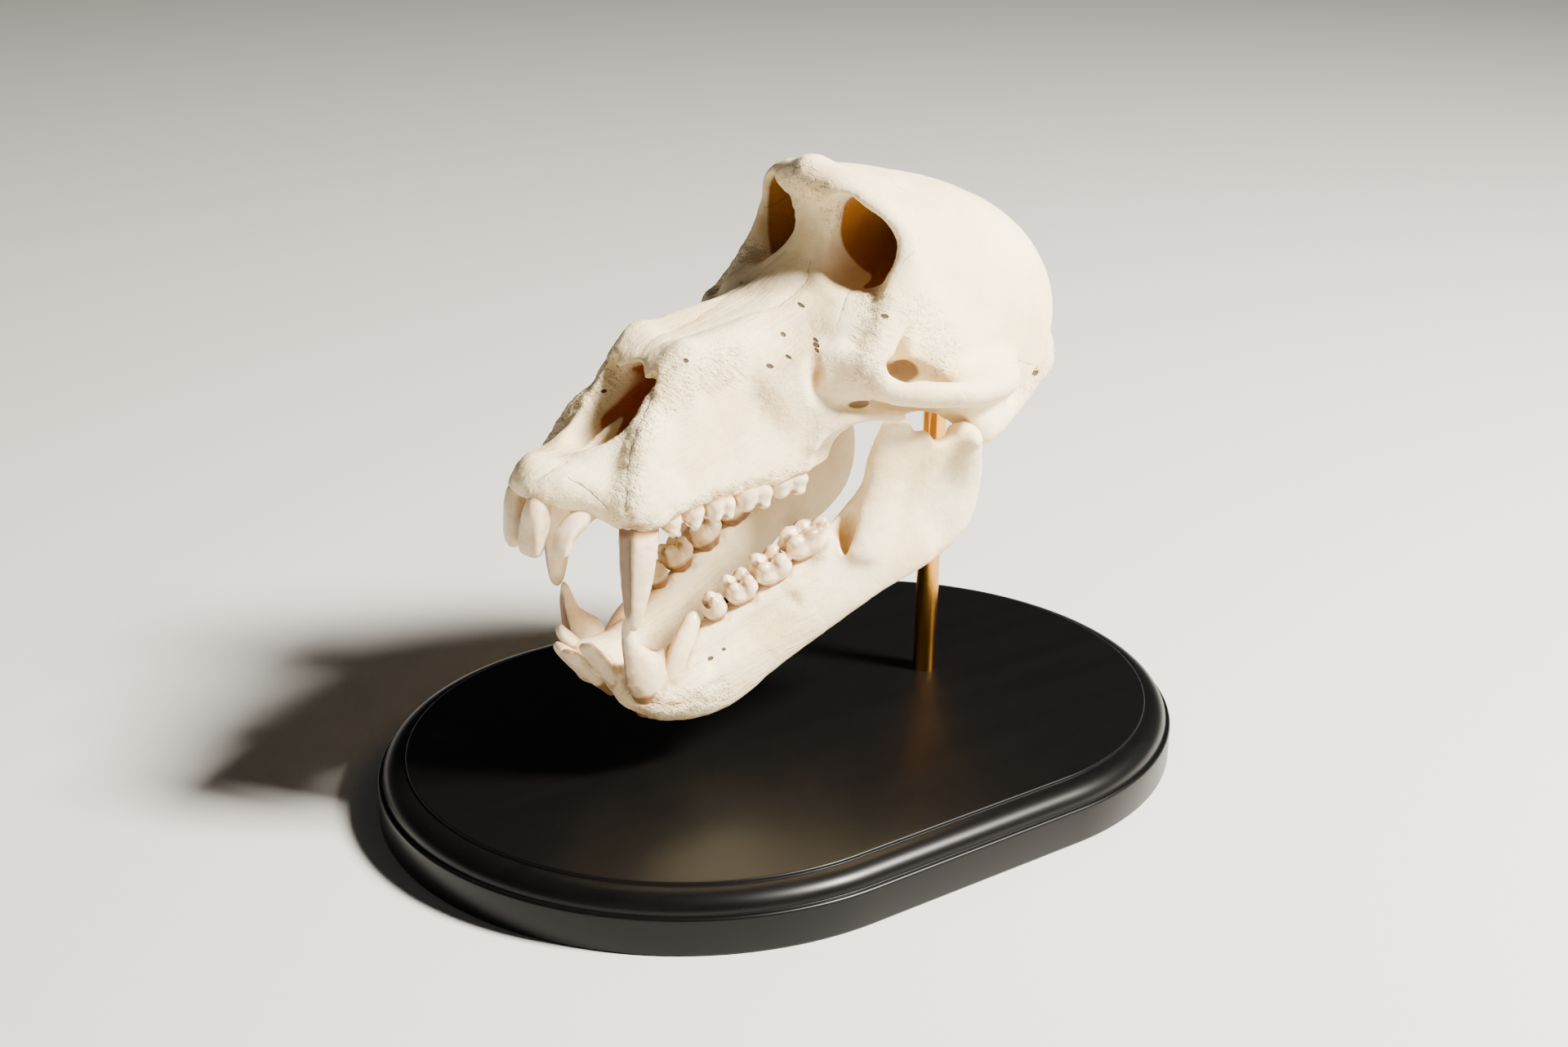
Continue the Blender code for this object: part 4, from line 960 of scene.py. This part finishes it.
def bone_finish(name):
    """Matt cream bone: cloudy colour, brown painted shade in recesses, brown seams, ochre in the depths that is
    partly painted shade, fine pores.
    """
    f = Finish(name, Metallic=0.0, IOR=1.45, Specular_IOR_Level=0.3)
    # Cloudy cream, greyer patches, and brown painted shade where much bone lies round a spot, as in hollows.
    cloud = f.noise(30, 5, 0.6, 0.4)
    fine = f.noise(420, 4, 0.65)
    rough = f.mark("rough")
    base = f.blend(f.step(0.40, 0.66, cloud), colour(254, 235, 193), colour(246, 218, 168))
    base = f.blend(f.step(0.54, 0.76, f.noise(85, 4, 0.6)) * 0.4, base, colour(212, 194, 162))
    recess = f.step(0.25, 1.0, f.mark("recess") + (fine - 0.5) * 0.4)
    base = f.blend(recess * 0.55, base, colour(160, 130, 92))
    # A stain round the teeth's necks; ochre stains, which also paint the shade of their hollows; painted shade in
    # hollows; dark painted shade by the cheek arch.
    base = f.blend(f.mark("neck") * f.step(0.3, 0.6, f.noise(260, 3)) * 0.6, base, colour(150, 104, 60))
    # Ochre stains in hollows, standing also for the shade that falls in them.
    stain = f.spots(OCHRE_STAINS_AND_SHADE, 0.3, 1.1) * f.step(0.2, 0.6, f.noise(160, 3))
    base = f.blend(stain * 0.85, base, colour(188, 140, 58))
    # Painted shade in the hollow under the cheek arch and in the jaw's side hollow.
    base = f.blend(f.spots(SHADES, 0.2, 1.0) * 0.4, base, colour(150, 130, 100))
    # Dark painted shade in the gap behind the cheek arch and under the cheek's lower rim.
    base = f.blend(f.spots(DARK_HOLLOW_SHADE, 0.7, 1.0) * 0.9, base, colour(112, 74, 20))
    # Ochre deep in the eye sockets, redder in the nose: partly the bone's own stain, partly painted shade.
    depth = f.step(0.15, 0.85, f.mark("depth") + (f.noise(120, 4, 0.6) - 0.5) * 0.4)
    ochre = f.blend(f.noise(60, 4, 0.6), colour(184, 120, 46), colour(148, 94, 34))
    ochre = f.blend(f.step(-0.035, -0.055, f.along_x()), ochre, colour(176, 88, 36))
    base = f.blend(depth, base, ochre)
    # Seams: a thin dark line that wanders and breaks off.
    wander = (f.noise(330, 3, 0.6) - 0.5) * 2.2
    seam = 1 - f.step(0.10, 0.40, f.maths("ABSOLUTE", f.mark("seam_side") + wander))
    seam = seam * (1 - f.step(1.2, 2.0, f.mark("seam_gap"))) * f.mark("seam_dark")
    seam = seam * f.step(0.36, 0.56, f.noise(150, 3, 0.6))
    base = f.blend(seam, base, colour(104, 82, 60))
    # Pores, wrinkles on the rough bands, and slanting streaks on the muzzle.
    pores = 1 - f.step(0.14, 0.36, f.pits(820))
    amount = f.step(0.55, 0.75, f.noise(60, 3, 0.5)) * 0.35 + rough * 0.9
    base = f.blend(pores * amount * 0.4, base, colour(128, 104, 74))
    wrinkle = f.stretched((260, 260, 700), 4, 0.6, 0.8, (0.3, -0.7, 0.2))
    base = f.blend(f.step(0.50, 0.30, wrinkle) * rough * 0.45, base, colour(150, 128, 98))
    snout = f.step(0.0, -0.014, f.along_x())
    streak = f.stretched((60, 560, 560), 4, 0.6, 0.6, (0, 0.36, 0))
    base = f.blend(f.step(0.44, 0.30, streak) * snout * 0.3, base, colour(196, 172, 136))
    # The small holes: dark spots of painted shade, sunk a little by the bump.
    holes = f.spots(HOLES, 0.7, 1.05)
    base = f.blend(holes * 0.95, base, colour(62, 42, 22))
    height = fine * 0.4 + f.noise(1500, 3, 0.6) * 0.2 - pores * amount * 0.5 - seam * 1.2 - holes * 2.0
    height = height + (wrinkle - 0.5) * (rough * 2.0 + 0.15) + (streak - 0.5) * snout * 1.3
    return f.done(Base_Color=base, Roughness=0.62 + (fine - 0.5) * 0.2, Normal=f.bump(height, 0.5, 0.9))


def tooth_finish(name):
    """Ivory enamel with a soft gloss, ochre and brown at the neck, brown in the crevices as stain and painted
    shade, fine cracks.
    """
    f = Finish(name, Metallic=0.0, IOR=1.55, Coat_Weight=0.2, Coat_Roughness=0.3)
    gum = f.mark("above_gum")
    cloud = f.noise(190, 4, 0.6)
    base = f.blend(f.step(0.35, 0.68, cloud), colour(249, 228, 190), colour(234, 203, 156))
    base = f.blend(f.step(0.50, 0.70, f.noise(70, 3)) * 0.5, base, colour(206, 180, 146))
    neck = 1 - f.step(-0.2, 0.9, gum + (cloud - 0.5) * 1.6)
    base = f.blend(neck * 0.75, base, colour(192, 136, 60))
    base = f.blend((1 - f.step(-0.9, 0.1, gum)) * 0.8, base, colour(122, 78, 40))
    # Brown in the crevices: stain in the cheek teeth's fissures, painted shade along the canine's groove and down
    # the incisors' sides.
    crevice_stain_and_shade = f.step(0.1, 0.9, f.mark("crevice_stain_and_shade") + (cloud - 0.5) * 0.5)
    base = f.blend(crevice_stain_and_shade * 0.85, base, colour(108, 68, 28))
    lines = f.stretched((900, 900, 90), 3, 0.6, 0.8)
    crack = 1 - f.step(0.0, 0.012, f.maths("ABSOLUTE", lines - 0.5))
    base = f.blend(crack * 0.25, base, colour(150, 118, 80))
    normal = f.bump(f.noise(900, 3, 0.6) * 0.6 + lines * 0.4, 0.10, 0.6)
    return f.done(Base_Color=base, Roughness=0.32 + cloud * 0.14 + neck * 0.25, Normal=normal)


def brass_finish(name):
    """Polished brass with faint turning lines and a little tarnish."""
    f = Finish(name, Metallic=1.0)
    lines = f.stretched((260, 260, 5200), 3, 0.6, 0.0)
    cloud = f.noise(55, 4, 0.6)
    base = f.blend(f.step(0.4, 0.75, cloud) * 0.6, colour(226, 164, 72), colour(178, 116, 44))
    roughness = 0.10 + lines * 0.08 + cloud * 0.05
    return f.done(Base_Color=base, Roughness=roughness, Normal=f.bump(lines, 0.02, 0.5))


def lacquer_finish(name):
    """Black lacquered wood: a hint of the grain under a satin gloss, dust specks and faint wipe marks."""
    f = Finish(name, Metallic=0.0, IOR=1.45, Specular_IOR_Level=0.22, Coat_Weight=0.05, Coat_Roughness=0.25)
    grain = f.stretched((9, 160, 160), 5, 0.6, 0.6)
    dust = (1 - f.step(0.03, 0.09, f.pits(520))) * f.step(0.54, 0.70, f.noise(140, 2))
    wipe = f.stretched((14, 30, 14), 3, 0.5, 1.5)
    base = f.blend(grain, colour(5, 5, 5), colour(12, 11, 11))
    base = f.blend(dust * 0.3, base, colour(110, 106, 98))
    roughness = 0.26 + grain * 0.04 + wipe * 0.10 + dust * 0.3
    return f.done(Base_Color=base, Roughness=roughness, Normal=f.bump(grain, 0.03, 0.12))


def box_blur(values, reach):
    """Mean over a cube of that half width in cells, done twice, one axis after another by running sums."""
    width = 2 * reach + 1
    for _ in range(2):
        for axis in range(3):
            edges = [(reach + 1, reach) if i == axis else (0, 0) for i in range(3)]
            total = np.cumsum(np.pad(values, edges, mode="edge"), axis=axis, dtype=np.float32)
            front = np.take(total, range(width, total.shape[axis]), axis=axis)
            back = np.take(total, range(0, total.shape[axis] - width), axis=axis)
            values = (front - back) / width
    return values


def crowding(bone_field, points, normals, reach):
    """How much bone lies round a spot just off the surface: 0.5 on a flat, more in a hollow."""
    cells = max(1, int(round(reach / bone_field.step / 2)))
    filled = box_blur((bone_field.field < 0).astype(np.float32), cells)
    return Field(bone_field.low, bone_field.step, filled).sample(points + normals * reach * 0.35)


def hollow_depth(half, below):
    """0 on the outside, 1 deep in the nose and behind the rim of the eye sockets.

    In the nose it grows with the depth below the whole shape. An eye socket is a round tube about X,
    centred at y 21.5 and z 181.5. There it starts behind a slanting line on the nose's side of the wall,
    and just behind the rim on the other side, and it ends outside the tube and at the tube's back.
    """
    x, y, z = half.T
    nose = smoothstep(7.5, 10.5, below) * smoothstep(-16, -24, x)
    behind_rim = x - 2 - 0.55 * (y - 11)
    start = -0.5 + smoothstep(24, 14, y) * (6.0 + 0.36 * (193 - z))
    from_centre = np.hypot(y - 21.5, z - 181.5) / 15.5
    socket = smoothstep(-1.2, 1.2, behind_rim - start) * smoothstep(1.12, 1.0, from_centre) * smoothstep(42, 36, x)
    # The ochre drawn from this mark is partly painted shade: the slanting line follows the edge of the rim's
    # shadow.
    return np.maximum(nose, socket * smoothstep(0.4, 1.6, below))


def neck_stain(half):
    """1 on the bone round a tooth's neck, fading to 0 within a millimetre or so of the tooth."""
    stain = np.zeros(len(half))
    for _, gum, _, length, width, _, _ in UPPER_CHEEK_TEETH + LOWER_CHEEK_TEETH:
        way = half - np.array(gum)
        reach = np.hypot(way[:, 0] / (length + 0.4), way[:, 1] / (width + 0.4))
        stain = np.maximum(stain, smoothstep(1.18, 1.0, reach) * smoothstep(4, 2, np.abs(way[:, 2])))
    for _, _, stations, _, _ in FRONT_TEETH:
        for x, y, z, a, b in smooth_path(stations, 1.0):
            gap = np.linalg.norm(half - (x, y, z), axis=1) - max(a, b)
            stain = np.maximum(stain, smoothstep(1.2, 0.2, gap))
    return stain


def seam_marks(half, normals):
    """Depth of the grooves along the seams, and the marks that the bone's material draws them by."""
    gaps, sides = np.full(len(half), NO_LINE), np.full(len(half), NO_LINE)
    darks, groove = np.zeros(len(half)), np.zeros(len(half))
    for line, deep, wide, dark in SEAMS:
        gap, signed = line_offsets(half, normals, line)
        closer = gap < gaps
        sides, darks = np.where(closer, signed, sides), np.where(closer, dark, darks)
        gaps = np.minimum(gap, gaps)
        groove = np.maximum(groove, deep * np.exp(-(gap / wide) ** 2))
    return groove, {"seam_side": np.clip(sides, -4, 4), "seam_gap": np.clip(gaps, 0, 4), "seam_dark": darks}


def roughness_bands(half, normals):
    """1 along the bands of rough bone, 0 away from them."""
    rough = np.zeros(len(half))
    for line, width in ROUGH_BANDS:
        gap, _ = line_offsets(half, normals, line)
        rough = np.maximum(rough, smoothstep(width * 1.3, width * 0.4, gap))
    return rough


def bone_piece(node, low, high, cell, lofts, balls, straps, cut_balls, cut_straps, walls, seed, finish):
    """Model one bone as clay in the box from low to high, skin it, roughen it and mark its hollows.

    The skin is moved along its normals by soft noise and finer noise on the rough bands, less the
    depth of the seams' grooves.
    """
    clay, holes = Clay(low, high, cell), Clay(low, high, cell)
    for stations in lofts:
        clay.loft(stations, SOFT_JOIN)
    clay.gather(balls, straps, SOFT_JOIN)
    holes.gather(cut_balls, cut_straps, SOFT_JOIN)
    solid = clay.mirrored()
    clay.cut(holes, SOFT_CUT)
    clay.gather([], walls, SOFT_WALL)
    whole = clay.mirrored()
    whole.soften(2)
    points, quads = whole.skin()
    points = whole.settle(points)
    normals = unit(whole.slope(points))
    near = crowding(whole, points, normals, 4.0)
    side = np.where(points[:, 1] < 0, -1.0, 1.0)[:, None] * (0, 1, 0) + (1, 0, 1)
    half, half_normals = points * side, normals * side
    depth = hollow_depth(half, -solid.sample(points))
    groove, seams = seam_marks(half, half_normals)
    rough = roughness_bands(half, half_normals)
    swell = layered_noise(points, 9.0, seed, 3) * 0.22 + value_noise(points, 2.6, seed + 5) * 0.08
    swell = swell + rough * (value_noise(points * (0.8, 1, 1.5), 2.2, seed + 9) * 0.28
                             + value_noise(points, 5.0, seed + 13) * 0.15)
    points = points + normals * (swell - groove)[:, None]
    # The mark for painted shade in recesses grows with how much bone lies round each point.
    add_mesh(node + "_bone", points, quads.tolist(), finish, "bone", node, recess=smoothstep(0.36, 0.60, near),
             depth=depth, rough=rough, neck=neck_stain(half), **seams)


bone = bone_finish("bone_matt_cream")
enamel = tooth_finish("tooth_ivory")
brass = brass_finish("brass_polished")
lacquer = lacquer_finish("wood_black_lacquer")

bone_piece("cranium", (-106, -56, 98), (116, 4, 212), CRANIUM_CELL, [FACE, BRAINCASE], CRANIUM_BALLS,
           CRANIUM_STRAPS, CRANIUM_CUT_BALLS, CRANIUM_CUT_STRAPS, [NASAL_RIDGE], 11, bone)
bone_piece("mandible", (-86, -52, 30), (56, 4, 134), MANDIBLE_CELL, [], MANDIBLE_BALLS, MANDIBLE_STRAPS,
           MANDIBLE_CUT_BALLS, [JAW_HOLLOW, SPUR_HOLLOW], [], 23, bone)

for side, flip, seed in (("left", -1.0, 100), ("right", 1.0, 300)):
    for jaw, teeth in (("upper", UPPER_CHEEK_TEETH), ("lower", LOWER_CHEEK_TEETH)):
        for number, (kind, *form) in enumerate(teeth):
            node = f"{jaw}_{side}_{kind}"
            points, faces, marks = cheek_tooth(*form, flip, seed + number * 7)
            add_mesh(node + "_crown", points, faces, enamel, "tooth", node, **marks)
    for jaw, kind, stations, gum_row, shape in FRONT_TEETH:
        node = f"{jaw}_{side}_{kind}"
        points, faces, marks = front_tooth(stations, gum_row, shape, flip, seed + 60)
        add_mesh(node + "_crown", points, faces, enamel, "tooth", node, **marks)

add_mesh("plaque", *plaque_mesh(), lacquer, "wood", "stand_base")
add_mesh("brass_rod", *rod_mesh(), brass, "brass", "support_rod")

# The floor reaches 3 metres from the plaque's middle each way.
floor_mesh = bpy.data.meshes.new("floor")
floor_mesh.from_pydata([(-3, -3, 0), (3, -3, 0), (3, 3, 0), (-3, 3, 0)], [], [(0, 1, 2, 3)])
paper = Finish("floor_paper", Roughness=0.85)
floor_mesh.materials.append(paper.done(Base_Color=colour(214, 211, 206)))
floor = bpy.data.objects.new("floor", floor_mesh)
bpy.context.scene.collection.objects.link(floor)

# Camera: where it stands, its right, its up and the way it looks back, from the plaque's outline.
CAMERA_PLACE = (-0.42277, -0.54487, 0.35342)
CAMERA_RIGHT = (0.79609, -0.60491, 0.01790)
CAMERA_UP = (0.20557, 0.29811, 0.93213)
CAMERA_BACK = (-0.56919, -0.73838, 0.36168)
view = bpy.data.cameras.new("camera")
view.lens, view.sensor_width, view.clip_start = 52.5, 36.0, 0.01
camera = bpy.data.objects.new("camera", view)
bpy.context.scene.collection.objects.link(camera)
axes = Matrix((CAMERA_RIGHT, CAMERA_UP, CAMERA_BACK)).transposed().to_4x4()
camera.matrix_world = Matrix.Translation(CAMERA_PLACE) @ axes
bpy.context.scene.camera = camera


def softbox(name, place, target, size, watts, tint):
    """A square area light that looks at a point; lengths are in metres."""
    data = bpy.data.lights.new(name, "AREA")
    data.size, data.energy, data.color = size, watts, tint
    lamp = bpy.data.objects.new(name, data)
    bpy.context.scene.collection.objects.link(lamp)
    aim = (Vector(target) - Vector(place)).to_track_quat("-Z", "Y").to_matrix().to_4x4()
    lamp.matrix_world = Matrix.Translation(place) @ aim


softbox("key_light", (0.62, -0.86, 1.15), (0, 0, 0.13), 0.30, 140, (1.0, 0.955, 0.87))
softbox("fill_light", (-1.0, -0.7, 0.5), (0, 0, 0.1), 0.6, 0.5, (1.0, 0.98, 0.96))
world = bpy.data.worlds.new("studio")
world.use_nodes = True
background = world.node_tree.nodes["Background"]
background.inputs["Color"].default_value = (0.85, 0.86, 0.88, 1)
background.inputs["Strength"].default_value = 0.035
bpy.context.scene.world = world
